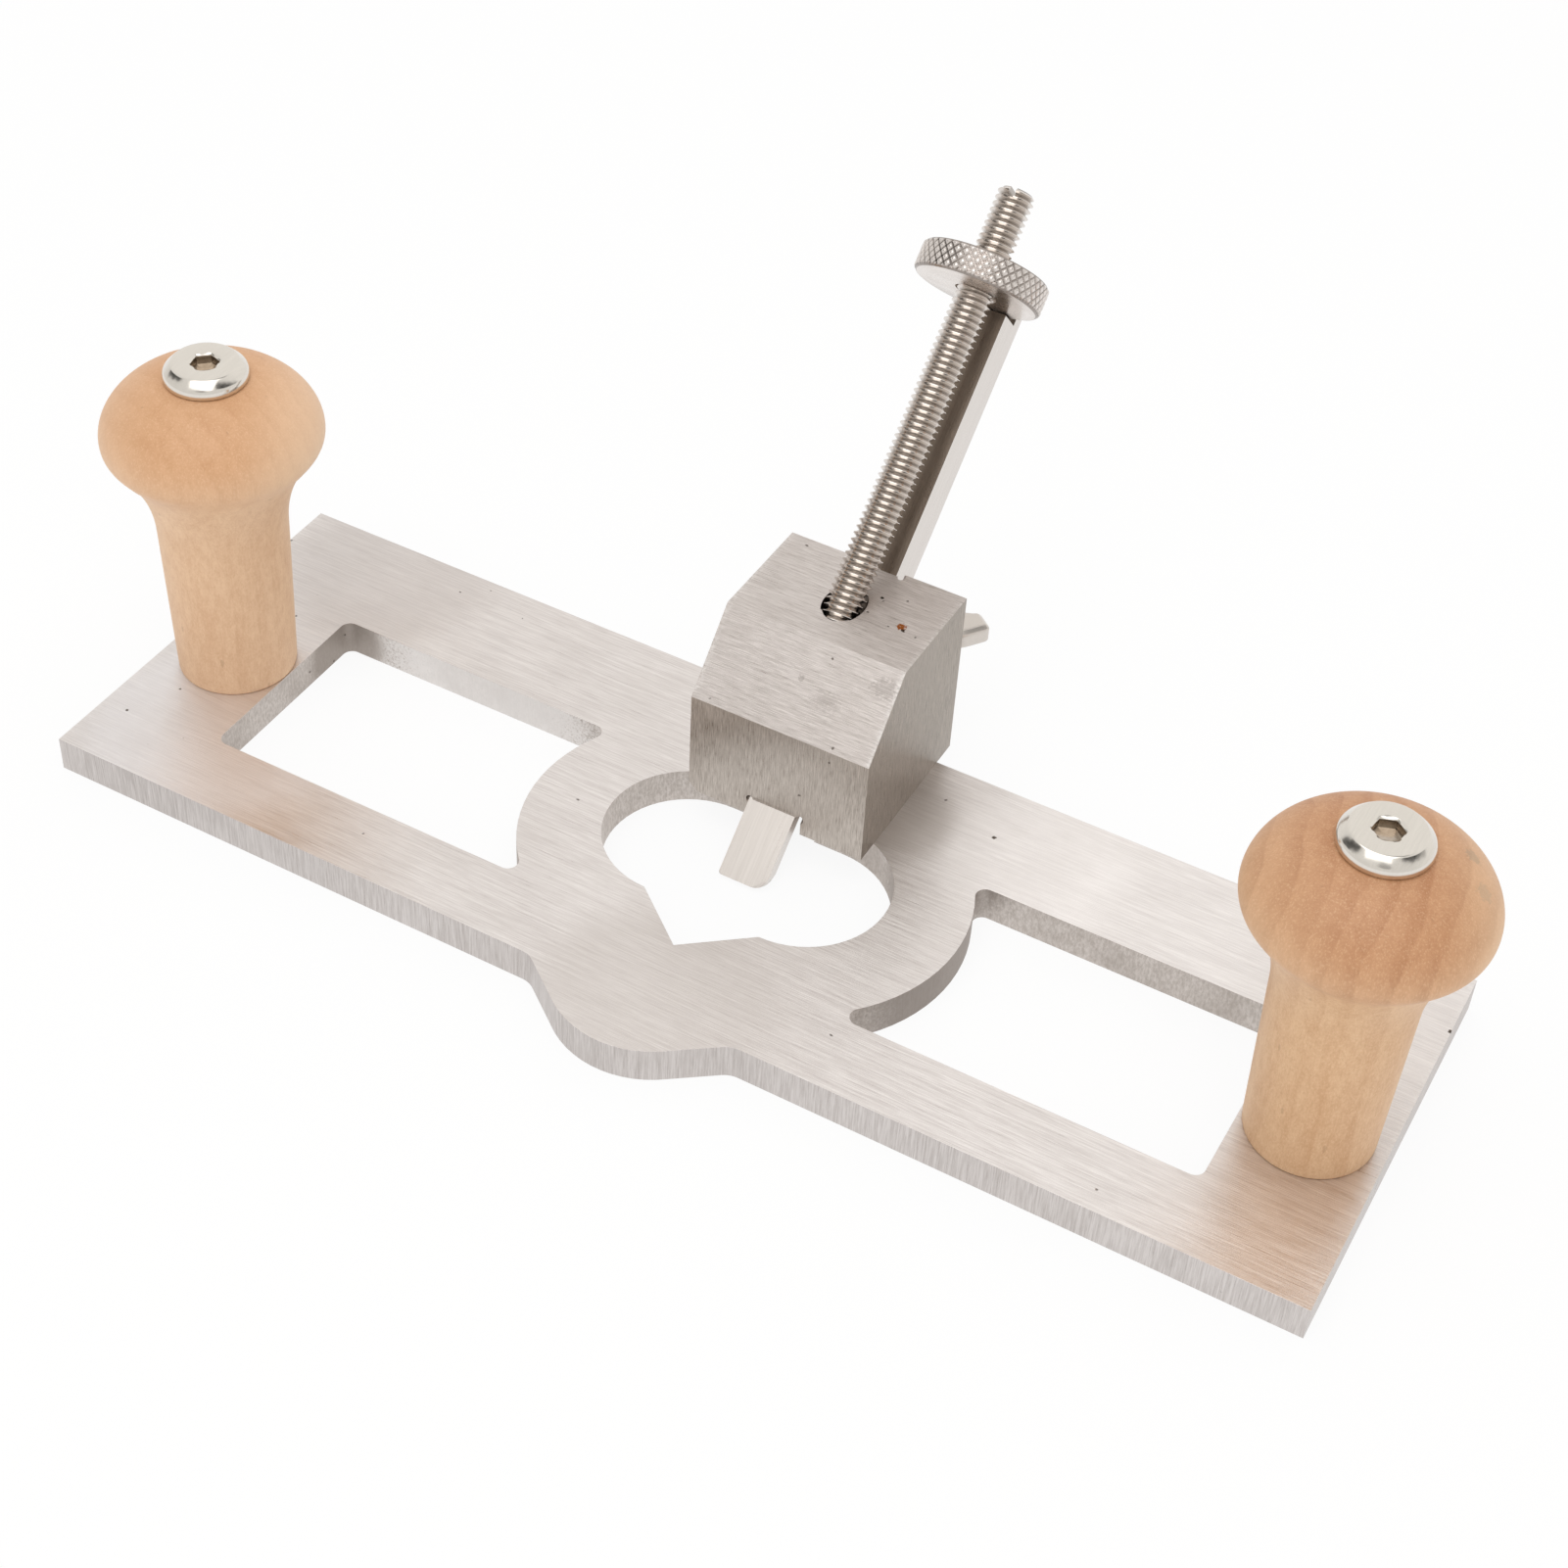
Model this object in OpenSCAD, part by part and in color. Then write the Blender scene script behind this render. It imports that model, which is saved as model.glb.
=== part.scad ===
// Hand router plane: a flat steel plate with two windows and a nose, a steel
// block that beds a square cutter, a threaded rod with a knurled wheel that
// sets the depth, a wing screw that locks the cutter, and two wooden knobs.
// Millimetres. The origin is on the sole, under the middle of the blade block.
// X runs along the plate, Y points from the nose to the rear edge, Z is up.

/* [Base plate] */
// Length of the plate
plate_length = 275; // [250:1:320]
// Width of the plate without the nose
plate_width = 90; // [84:1:100]
// Thickness of the plate
plate_thickness = 8; // [6:0.5:10]

/* [Windows] */
// Width of plate left at each end, outside a window
end_band = 27.5; // [26:0.5:36]
// Width of plate left in front of a window
front_rail = 16.8; // [12:0.2:20]
// Width of plate left behind a window
rear_rail = 27.8; // [22:0.2:32]
// Radius of the window's corners
window_corner = 2.2; // [1:0.1:4]
// Width of the ring of plate between the centre hole and a window
ring_width = 16.5; // [12:0.5:22]
// How far the ring's outer arc is centred in front of the hole
ring_drop = 0.9; // [0:0.1:2]

/* [Centre hole] */
// Distance between the centres of the hole's two round lobes
lobe_spacing = 26; // [20:1:34]
// Radius of each lobe
lobe_radius = 18; // [15:0.5:19]
// How far the pointed front of the hole reaches past the lobes
point_depth = 10.5; // [6:0.5:12]

/* [Nose] */
// Radius of the nose's round front
nose_radius = 20.4; // [16:0.2:24]
// How far the nose stands out in front of the plate
nose_reach = 11.8; // [9:0.2:14]
// Angle of the nose's straight flanks to the plate's front edge
nose_angle = 37; // [32:1:42]
// Radius of the hollow blend between the nose and the front edge
nose_blend = 5; // [3:0.5:8]

/* [Blade block] */
// Width of the block along the plate
block_width = 40; // [37:0.5:48]
// Depth of the block from front to rear
block_depth = 40; // [38:0.5:44]
// Height of the block above the plate
block_height = 40; // [38:0.5:44]
// How far the block stands out behind the plate
block_overhang = 6; // [3:0.5:8]
// Height of the bevel, measured down the front face
bevel_height = 15; // [10:0.5:17]
// Depth of the bevel, measured back along the top
bevel_depth = 13.4; // [8:0.2:15]
// Size of the clipped lower corner on the front left
corner_clip = 2; // [1:0.2:4]
// Height of the blade slot's mouth above the plate
mouth_height = 4.2; // [3.5:0.1:5.5]
// Width of the blade slot
slot_width = 12; // [11.4:0.1:13]
// Radius of the relief in the slot's two upper corners
slot_relief = 0.75; // [0.4:0.05:1]

/* [Cutter blade] */
// Angle between the blade and the sole
bed_angle = 42.7; // [42:0.1:44]
// Width of the square bar
blade_width = 10.5; // [9.5:0.1:11]
// Thickness of the square bar
blade_thickness = 10.6; // [9.8:0.1:11.2]
// Length from the cutting edge to the top end
blade_length = 136; // [126:0.5:140]
// How far the cutting edge reaches below the slot's mouth, along the blade
blade_drop = 16.4; // [12:0.2:17.4]
// Angle of the sharpened edge
sharpening_angle = 33; // [30:1:36]
// Thickness of the thin tongue that carries the edge
tongue_thickness = 2.8; // [2:0.1:4]
// Length of the tongue from the cutting edge to the ramp behind it
tongue_length = 24; // [20:0.5:27]
// Angle of the ramp from the tongue to the full bar
ramp_angle = 45; // [40:1:60]
// Radius of the edge's right corner
edge_round_right = 3; // [0.5:0.1:4]
// Radius of the edge's left corner
edge_round_left = 0.8; // [0.4:0.1:4]
// Depth of the notch that takes the wheel's rim
notch_depth = 7.1; // [6:0.1:8]
// Length of blade left above the notch
notch_lip = 2.6; // [2:0.1:3.4]

/* [Adjuster rod] */
// Outer diameter of the rod's thread
rod_diameter = 7.94; // [7:0.02:8.4]
// Pitch of the thread
thread_pitch = 1.411; // [1:0.001:1.75]
// Distance from the slot's front wall to the rod's axis
rod_offset = 9.05; // [8.6:0.05:9.6]
// Length of rod above the block
rod_reach = 89.6; // [84:0.2:100]
// Length of rod inside the block
rod_depth = 20; // [14:0.5:22]
// Width of the screwdriver slot in the rod's end
driver_slot_width = 1.4; // [1:0.1:2]
// Depth of the screwdriver slot
driver_slot_depth = 2.2; // [1.5:0.1:3]
// Diameter of the open mouth of the rod's hole in the block
rod_mouth_diameter = 8.6; // [8.5:0.1:10]
// Depth of that mouth
rod_mouth_depth = 3; // [1.5:0.5:5]

/* [Adjuster wheel] */
// Diameter of the knurled wheel
wheel_diameter = 27.2; // [25:0.2:29]
// Thickness of the wheel
wheel_thickness = 6.2; // [5:0.1:8]
// Bevel on the wheel's two rims
wheel_bevel = 0.7; // [0.3:0.1:1.2]
// Play between the wheel and the blade's notch, each side
wheel_play = 0.3; // [0.2:0.05:0.5]

/* [Wing screw] */
// Height of the wing screw above the plate
wing_height = 18; // [16.5:0.5:20]
// Diameter of its threaded shank
wing_shank_diameter = 8; // [6:0.5:8]
// Diameter of the flat on its tip
wing_tip_diameter = 3; // [2:0.2:4]
// Diameter of its hub
hub_diameter = 12.4; // [11:0.2:12.6]
// Length of its hub
hub_length = 10.4; // [9:0.2:11]
// Distance across both wings
wing_span = 38.6; // [30:0.2:39.2]
// How far the wings reach behind the block
wing_reach = 20.4; // [18:0.2:21]
// Thickness of the wings
wing_thickness = 5; // [2.4:0.1:5.4]
// Gap between the block and the hub
hub_gap = 0.7; // [0.4:0.1:1]

/* [Knobs] */
// Distance from the plate's end to a knob's axis
knob_inset = 15; // [13.6:0.2:18]
// How far the left knob stands in front of the plate's middle line
left_knob_forward = 4.8; // [0:0.1:8]
// How far the right knob stands in front of the plate's middle line
right_knob_forward = 6.5; // [0:0.1:8]
// Diameter of a knob at its foot
foot_diameter = 24.9; // [22:0.1:26]
// Diameter of a knob where the shank ends
neck_diameter = 26.8; // [24:0.1:28]
// Diameter of the edge under the head
edge_diameter = 40.4; // [37:0.1:42]
// Diameter of the head
head_diameter = 44.6; // [42.4:0.1:48]
// Height of the shank's end above the plate
neck_height = 37; // [32:0.5:40]
// Height of the edge under the head
edge_height = 55; // [50:0.5:56]
// Height of the head's widest place
waist_height = 59.5; // [58:0.5:62]
// Height of the crown that the dome would reach
crown_height = 73.5; // [69:0.5:78]
// Roundness of the dome, where 2 is an ellipse
dome_power = 1.95; // [1.8:0.05:2.4]
// Diameter of the flat seat under the bolt's head
seat_diameter = 17.5; // [17.4:0.1:19]

/* [Knob bolts] */
// Diameter of the bolt's head
bolt_head_diameter = 17; // [15:0.1:17.2]
// Height of the head's upright rim
bolt_rim = 2.2; // [0.8:0.1:2.4]
// Height of the bevel above the rim
bolt_bevel = 1.6; // [1:0.1:2]
// Width of that bevel
bolt_bevel_width = 2; // [1.2:0.1:2.6]
// Distance across the flats of the hexagon socket
bolt_socket = 5; // [4:0.5:6]
// Depth of the hexagon socket
bolt_socket_depth = 2.3; // [1.5:0.1:2.5]
// Diameter of the bolt's shank
bolt_diameter = 6; // [5:0.5:7]
// Thickness of plate left below the bolt's end
bolt_stop = 1; // [0.5:0.1:2]

/* [Block screws] */
// Distance between the left and right screws
screw_spacing = 27; // [25:0.5:28]
// Distance from the front screws to the rear screws
screw_pitch = 13; // [11:0.5:13]
// Distance from the block's middle forward to the front screws
screw_forward = 5.5; // [5:0.1:6]
// Diameter of a screw's thread
screw_diameter = 5; // [4:0.5:5]
// Diameter of the countersunk head
screw_head_diameter = 9.4; // [8.4:0.2:9.4]
// Length of thread inside the block
screw_grip = 12; // [8:0.5:14]
// How far the head lies below the sole's surface
screw_sink = 0.4; // [0.2:0.1:0.8]
// Distance across the flats of the hexagon socket
screw_socket = 3; // [2:0.5:3]
// Depth of the hexagon socket
screw_socket_depth = 1.8; // [1:0.1:2]

/* [Fits] */
// Gap between the blade's front and the slot
blade_gap = 0.1; // [0.05:0.01:0.15]
// Gap between the blade's back and the slot
blade_back_gap = 0.3; // [0.2:0.05:0.4]
// Gap between the blade's left side and the slot it leans against
blade_side_gap = 0.15; // [0.1:0.05:0.3]
// Gap between the wing screw's tip and the blade
tip_gap = 0.2; // [0.1:0.05:0.4]
// Gap all round a thread or a running shaft
thread_gap = 0.05; // [0.03:0.01:0.08]
// Gap all round a bolt in the wood
wood_gap = 0.25; // [0.1:0.05:0.4]

/* [Hidden] */
$fn = 72;

lean = 90 - bed_angle;
plate_y = block_depth / 2 - block_overhang - plate_width / 2;
front_y = -plate_width / 2;
mouth_y = -block_depth / 2;
mouth_z = plate_thickness + mouth_height;
blade_back = blade_gap + blade_thickness;
blade_top = blade_length - blade_drop;
notch_height = wheel_thickness + 2 * wheel_play;
notch_bottom = blade_top - notch_lip - notch_height;
wheel_bottom = notch_bottom + wheel_play;
rod_radius = rod_diameter / 2;
thread_depth = 0.6134 * thread_pitch;
rod_exit = (block_height - mouth_height - rod_offset * sin(lean)) / cos(lean);
thread_rings = floor((rod_reach - 1) / thread_pitch);
thread_start = rod_exit + rod_reach - 1 - thread_rings * thread_pitch;
wing_z = plate_thickness + wing_height;
wing_radius = wing_shank_diameter / 2;
wing_tip_radius = wing_tip_diameter / 2;
tip_y = bed_y(wing_z + wing_tip_radius, blade_back) + tip_gap / cos(lean);
tip_cone = (wing_radius - wing_tip_radius) * tan(lean);
arc_radius = lobe_radius + ring_width;
arc_x = lobe_spacing / 2;
dome_height = crown_height - waist_height;
seat_height = waist_height
    + dome_height * dome(seat_diameter / head_diameter);
// Two outlines that touch overlap by this much, so no sliver is left.
touch = 0.02;

// How far back a plane at this depth behind the slot's front wall stands,
// at height z above the sole.
function bed_y(z, depth) =
    mouth_y + (z - mouth_z) * tan(lean) + depth / cos(lean);

// Height of the dome, as a share, at a share of its radius.
function dome(share) = pow(1 - pow(share, dome_power), 1 / dome_power);

// Point on a cubic curve through a and d with handles b and c.
function curve(a, b, c, d, t) =
    pow(1 - t, 3) * a + 3 * pow(1 - t, 2) * t * b
    + 3 * (1 - t) * t * t * c + pow(t, 3) * d;

// Outline of a knob from its foot to the seat: radius and height.
function knob_outline() = let(
    foot = [foot_diameter / 2, 0],
    neck = [neck_diameter / 2, neck_height],
    edge = [edge_diameter / 2, edge_height],
    waist = [head_diameter / 2, waist_height],
    rise = edge_height - neck_height,
    tuck = waist_height - edge_height,
    turn = acos(seat_diameter / head_diameter)
) concat(
    [foot - [0.4, 0], foot + [0, 0.4]],
    [for (i = [0 : 12]) curve(neck, neck + [0.3, rise / 2],
        edge - [2.4, 2.3], edge, i / 12)],
    [for (i = [1 : 6]) curve(edge, edge + [1, tuck / 3],
        waist - [0, tuck / 2], waist, i / 6)],
    [for (i = [1 : 14]) [waist[0] * cos(i * turn / 14),
        waist_height + dome_height * dome(cos(i * turn / 14))]]
);

// Places what it holds from the middle of the plate's sole.
module on_plate() {
    translate([0, plate_y, 0]) children();
}

// Places what it holds on the slanted bed: Z climbs along the blade from the
// slot's mouth, and Y points away from the slot's front wall.
module on_bed() {
    translate([0, mouth_y, mouth_z]) rotate([-lean, 0, 0]) children();
}

// Places one copy on each side.
module both_sides() {
    for (side = [-1, 1]) scale([side, 1, 1]) children();
}

// Rounds off the sharp end of the right window, at the edge y.
module window_end(y, out) {
    end_y = y - out * window_corner;
    reach = arc_radius + window_corner - touch;
    run = sqrt(pow(reach, 2) - pow(end_y + ring_drop, 2));
    end_x = arc_x + run;
    difference() {
        polygon([[end_x, end_y], [end_x, y + out], [arc_x, y + out],
            [arc_x, -ring_drop]]);
        translate([end_x, end_y]) circle(window_corner);
    }
}

// Rounds off an outer corner of the right window.
module window_outer_corner(x, y, out) {
    difference() {
        translate([x - window_corner, out > 0 ? y - window_corner : y - 1])
            square([window_corner + 1, window_corner + 1]);
        translate([x - window_corner, y - out * window_corner])
            circle(window_corner);
    }
}

// Outline of the right window.
module window() {
    low = front_y + front_rail;
    high = -front_y - rear_rail;
    far = plate_length / 2 - end_band;
    difference() {
        translate([arc_x, low]) square([far - arc_x, high - low]);
        translate([arc_x, -ring_drop]) circle(arc_radius);
        window_end(high, 1);
        window_end(low, -1);
        window_outer_corner(far, high, 1);
        window_outer_corner(far, low, -1);
    }
}

// Outline of the centre hole with its pointed front.
module centre_hole() {
    both_sides() translate([arc_x, 0]) circle(lobe_radius);
    polygon([[-arc_x, touch - lobe_radius], [0, -lobe_radius - point_depth],
        [arc_x, touch - lobe_radius], [arc_x, lobe_radius], [-arc_x, lobe_radius]]);
}

// Outline of the nose: a round front, straight flanks and hollow blends.
module nose() {
    middle_y = front_y - nose_reach + nose_radius;
    flank_x = (nose_radius - touch) * sin(nose_angle);
    flank_y = middle_y - (nose_radius - touch) * cos(nose_angle);
    root_x = flank_x + (front_y - flank_y) / tan(nose_angle);
    ease = nose_blend * tan(nose_angle / 2);
    translate([0, middle_y]) circle(nose_radius);
    difference() {
        polygon([[-flank_x, flank_y], [flank_x, flank_y],
            [root_x - ease * cos(nose_angle), front_y - ease * sin(nose_angle)],
            [root_x + ease, front_y], [root_x + ease, front_y + 1],
            [-root_x - ease, front_y + 1], [-root_x - ease, front_y],
            [ease * cos(nose_angle) - root_x,
            front_y - ease * sin(nose_angle)]]);
        both_sides() translate([root_x + ease, front_y - nose_blend])
            circle(nose_blend);
    }
}

// Steel plate with its windows, centre hole, nose and screw holes.
module base_plate() {
    relief_y = bed_y(plate_thickness, blade_back) + 0.8;
    color([0.84, 0.83, 0.81]) difference() {
        linear_extrude(plate_thickness) difference() {
            on_plate() union() {
                square([plate_length, plate_width], center = true);
                nose();
            }
            on_plate() both_sides() window();
            on_plate() centre_hole();
            translate([-slot_width / 2, plate_y])
                square([slot_width, relief_y - plate_y]);
        }
        at_knobs() translate([0, 0, bolt_stop])
            cylinder(h = plate_thickness, r = bolt_diameter / 2 + thread_gap);
        at_screws() screw_hole();
    }
}

// Hole through the plate for one countersunk block screw.
module screw_hole() {
    grow = thread_gap;
    sink = (screw_head_diameter - screw_diameter) / 2;
    translate([0, 0, -1]) cylinder(h = plate_thickness + 2,
        r = screw_diameter / 2 + grow);
    translate([0, 0, -1]) cylinder(h = 1 + screw_sink,
        r = screw_head_diameter / 2 + grow);
    translate([0, 0, screw_sink]) cylinder(h = sink,
        r1 = screw_head_diameter / 2 + grow, r2 = screw_diameter / 2 + grow);
}

// Places one copy at each of the four block screws.
module at_screws() {
    for (x = [-1, 1], y = [0, 1]) translate([x * screw_spacing / 2,
        -screw_forward + y * screw_pitch, 0]) children();
}

// Places one copy at each knob.
module at_knobs() {
    for (side = [-1, 1]) at_knob(side) children();
}

// Places one copy at the knob on this side.
module at_knob(side) {
    forward = side < 0 ? left_knob_forward : right_knob_forward;
    on_plate() translate([side * (plate_length / 2 - knob_inset),
        -forward, 0]) children();
}

// Steel block with the slanted blade slot, the rod's hole and the screw holes.
module blade_block() {
    top_z = plate_thickness + block_height;
    back_y = block_depth / 2;
    slot_depth = blade_back + blade_back_gap;
    color([0.74, 0.72, 0.69]) difference() {
        translate([-block_width / 2, mouth_y, plate_thickness])
            cube([block_width, block_depth, block_height]);
        rotate([90, 0, 90]) translate([0, 0, -block_width])
            linear_extrude(2 * block_width) polygon([
                [mouth_y, top_z - bevel_height], [mouth_y - 5, top_z - bevel_height],
                [mouth_y - 5, top_z + 5], [mouth_y + bevel_depth, top_z + 5],
                [mouth_y + bevel_depth, top_z]]);
        rotate([90, 0, 0]) translate([0, 0, block_depth / 2 - corner_clip])
            linear_extrude(corner_clip + 1) polygon([
                [-block_width / 2 - 1, plate_thickness - 1],
                [-block_width / 2 + corner_clip + 1, plate_thickness - 1],
                [-block_width / 2 - 1, plate_thickness + corner_clip + 1]]);
        on_bed() {
            translate([-slot_width / 2, 0, -blade_drop])
                cube([slot_width, slot_depth, blade_length]);
            for (side = [-1, 1])
                translate([side * (slot_width / 2 - 0.2), 0.2, -blade_drop])
                    cylinder(h = blade_length, r = slot_relief);
            translate([0, -rod_offset, rod_exit - rod_depth - 0.5])
                cylinder(h = rod_depth + 20, r = rod_radius + thread_gap);
            translate([0, -rod_offset, rod_exit - rod_mouth_depth])
                cylinder(h = 30, r = rod_mouth_diameter / 2);
        }
        translate([0, back_y + 1, wing_z]) rotate([90, 0, 0])
            cylinder(h = back_y + 1 - tip_y + 2, r = wing_radius + thread_gap);
        at_screws() translate([0, 0, plate_thickness - 1])
            cylinder(h = screw_grip + 2, r = screw_diameter / 2 + thread_gap);
    }
}

// Countersunk screw that holds the block to the plate from below.
module block_screw(side, row) {
    head_height = (screw_head_diameter - screw_diameter) / 2;
    color([0.55, 0.55, 0.56]) translate([side * screw_spacing / 2,
        -screw_forward + row * screw_pitch, screw_sink]) difference() {
        union() {
            cylinder(h = head_height, r1 = screw_head_diameter / 2,
                r2 = screw_diameter / 2);
            cylinder(h = plate_thickness - screw_sink + screw_grip,
                r = screw_diameter / 2);
        }
        translate([0, 0, -1]) cylinder(h = 1 + screw_socket_depth,
            r = screw_socket / sqrt(3), $fn = 6);
    }
}

module block_screw_front_left() {
    block_screw(-1, 0);
}

module block_screw_front_right() {
    block_screw(1, 0);
}

module block_screw_rear_left() {
    block_screw(-1, 1);
}

module block_screw_rear_right() {
    block_screw(1, 1);
}

// Threaded rod that stands in the block beside the blade.
module adjuster_rod() {
    root = rod_radius - thread_depth;
    bottom = rod_exit - rod_depth;
    top = rod_exit + rod_reach;
    thread = [for (i = [0 : thread_rings - 1])
        for (step = [0, 1]) [step == 0 ? rod_radius : root,
            thread_start + (i + step / 2) * thread_pitch]];
    color([0.8, 0.79, 0.77]) on_bed() translate([0, -rod_offset, 0])
        difference() {
            rotate_extrude() polygon(concat(
                [[0, bottom], [rod_radius - 0.6, bottom],
                    [rod_radius, bottom + 0.6]],
                thread,
                [[rod_radius, top - 1], [rod_radius - 0.8, top], [0, top]]));
            translate([-driver_slot_width / 2, -rod_diameter,
                top - driver_slot_depth]) cube([driver_slot_width,
                2 * rod_diameter, driver_slot_depth + 1]);
        }
}

// Round wheel that runs on the rod and carries the blade by its notch.
module adjuster_wheel() {
    rim = wheel_diameter / 2;
    bore = rod_radius + thread_gap;
    color([0.78, 0.77, 0.75]) on_bed()
        translate([0, -rod_offset, wheel_bottom]) rotate_extrude() polygon([
            [bore, 0], [rim - wheel_bevel, 0], [rim, wheel_bevel],
            [rim, wheel_thickness - wheel_bevel],
            [rim - wheel_bevel, wheel_thickness], [bore, wheel_thickness]]);
}

// Side outline of the cutter: depth behind the slot's front wall, and height.
module blade_side() {
    tongue_back = blade_gap + tongue_thickness;
    bevel_top = tongue_thickness / tan(sharpening_angle) - blade_drop;
    ramp_bottom = tongue_length - blade_drop;
    ramp = (blade_thickness - tongue_thickness) / tan(ramp_angle);
    polygon([[blade_gap, -blade_drop], [tongue_back, bevel_top],
        [tongue_back, ramp_bottom], [blade_back, ramp_bottom + ramp],
        [blade_back, blade_top], [blade_gap, blade_top],
        [blade_gap, notch_bottom + notch_height],
        [blade_gap + notch_depth, notch_bottom + notch_height],
        [blade_gap + notch_depth, notch_bottom],
        [blade_gap, notch_bottom]]);
}

// Part of the cutter's face that a rounded corner of the edge takes away.
module eased_corner(side, radius) {
    translate([side * (blade_width / 2 - radius), radius - blade_drop])
        difference() {
            translate([side > 0 ? 0 : -radius - 1, -radius - 1])
                square([radius + 1, radius + 1]);
            circle(radius);
        }
}

// Square cutter with a thin sharpened tongue and a notch near the top.
module cutter_blade() {
    shift = (slot_width - blade_width) / 2 - blade_side_gap;
    color([0.82, 0.79, 0.77]) on_bed() translate([-shift, 0, 0])
        difference() {
            rotate([90, 0, 90]) translate([0, 0, -blade_width / 2])
                linear_extrude(blade_width) blade_side();
            translate([0, blade_back + 1, 0]) rotate([90, 0, 0])
                linear_extrude(blade_back + 2) union() {
                    eased_corner(1, edge_round_right);
                    eased_corner(-1, edge_round_left);
                }
        }
}

// Outline of the wings, drawn from the block's rear face outwards.
module wings() {
    half = wing_span / 2;
    root = hub_diameter / 2;
    both_sides() polygon([[-0.01, hub_gap + 1.5], [root - 0.6, hub_gap + 1.5],
        [half - 3.4, wing_reach - 8.2], [half, wing_reach - 3.4],
        [half - 4.2, wing_reach], [root - 1.4, wing_reach - 7.4],
        [-0.01, wing_reach - 7.8]]);
}

// Wing screw that presses the blade against the slot's front wall.
module wing_screw() {
    back_y = block_depth / 2;
    hub_y = back_y + hub_gap;
    color([0.86, 0.85, 0.82]) union() {
        translate([0, 0, wing_z]) rotate([-90, 0, 0]) rotate_extrude()
            polygon([[0, tip_y], [wing_tip_radius, tip_y],
                [wing_radius, tip_y + tip_cone], [wing_radius, hub_y],
                [hub_diameter / 2 - 0.5, hub_y], [hub_diameter / 2, hub_y + 0.5],
                [hub_diameter / 2, hub_y + hub_length - 3],
                [hub_diameter / 2 - 1.8, hub_y + hub_length],
                [0, hub_y + hub_length]]);
        translate([0, back_y, wing_z - wing_thickness / 2])
            linear_extrude(wing_thickness) wings();
    }
}

// Turned wooden knob with a bore for its bolt.
module knob(side) {
    color([0.89, 0.74, 0.57]) at_knob(side)
        translate([0, 0, plate_thickness]) difference() {
            rotate_extrude() polygon(concat([[0, 0]], knob_outline(),
                [[0, seat_height]]));
            translate([0, 0, -1]) cylinder(h = crown_height + 2,
                r = bolt_diameter / 2 + wood_gap);
        }
}

module left_knob() {
    knob(-1);
}

module right_knob() {
    knob(1);
}

// Bolt with a wide bevelled head that holds a knob to the plate.
module knob_bolt(side) {
    rim = bolt_head_diameter / 2;
    seat_z = plate_thickness + seat_height;
    color([0.87, 0.86, 0.84]) at_knob(side) difference() {
        union() {
            translate([0, 0, bolt_stop + 0.3])
                cylinder(h = seat_z - bolt_stop, r = bolt_diameter / 2);
            translate([0, 0, seat_z]) rotate_extrude() polygon([[0, 0],
                [rim - 0.4, 0], [rim, 0.3], [rim, bolt_rim],
                [rim - bolt_bevel_width, bolt_rim + bolt_bevel],
                [0, bolt_rim + bolt_bevel]]);
        }
        translate([0, 0, seat_z + bolt_rim + bolt_bevel - bolt_socket_depth])
            cylinder(h = bolt_socket_depth + 1, r = bolt_socket / sqrt(3),
                $fn = 6);
    }
}

module left_knob_bolt() {
    knob_bolt(-1);
}

module right_knob_bolt() {
    knob_bolt(1);
}

base_plate();
blade_block();
block_screw_front_left();
block_screw_front_right();
block_screw_rear_left();
block_screw_rear_right();
adjuster_rod();
adjuster_wheel();
cutter_blade();
wing_screw();
left_knob();
right_knob();
left_knob_bolt();
right_knob_bolt();
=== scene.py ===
"""Looks for the hand router plane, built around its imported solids.

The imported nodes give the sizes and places. The plate, the block, the cutter and
the block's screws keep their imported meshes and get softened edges. The rod, the
wheel, the wing screw, the knobs and their bolts are built here in more detail.
"""

from __future__ import annotations

import logging
import math
from collections.abc import Sequence
from dataclasses import dataclass, field
from enum import Enum

import bmesh
import bpy
import numpy as np
from mathutils import Matrix, Vector

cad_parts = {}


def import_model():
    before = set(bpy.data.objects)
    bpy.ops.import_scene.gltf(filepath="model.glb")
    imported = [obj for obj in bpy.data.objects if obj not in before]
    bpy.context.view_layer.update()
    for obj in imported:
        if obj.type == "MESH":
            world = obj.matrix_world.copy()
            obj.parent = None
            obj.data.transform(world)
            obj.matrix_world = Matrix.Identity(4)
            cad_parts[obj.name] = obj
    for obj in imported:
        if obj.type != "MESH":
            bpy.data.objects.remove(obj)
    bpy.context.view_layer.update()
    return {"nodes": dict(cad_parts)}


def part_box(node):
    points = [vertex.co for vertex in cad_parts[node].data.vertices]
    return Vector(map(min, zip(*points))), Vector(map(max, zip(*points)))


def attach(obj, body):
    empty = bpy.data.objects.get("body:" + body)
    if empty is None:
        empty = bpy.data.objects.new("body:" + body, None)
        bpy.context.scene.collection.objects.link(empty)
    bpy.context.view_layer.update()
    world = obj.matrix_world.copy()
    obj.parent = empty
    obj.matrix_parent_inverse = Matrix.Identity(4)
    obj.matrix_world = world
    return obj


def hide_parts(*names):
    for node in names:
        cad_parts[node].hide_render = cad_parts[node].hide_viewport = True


log = logging.getLogger("router_plane")

MM = 0.001
Tone = tuple[float, float, float, float]
Point = tuple[float, float, float]
Flat = tuple[float, float]
Piece = bpy.types.Object
Mesh = bpy.types.Mesh
Material = bpy.types.Material
Node = bpy.types.Node
Socket = bpy.types.NodeSocket


class Body(Enum):
    """The bodies that the pieces built here ride on."""

    PLANE = "plane"
    WHEEL = "wheel"
    WING = "wing"


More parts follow.
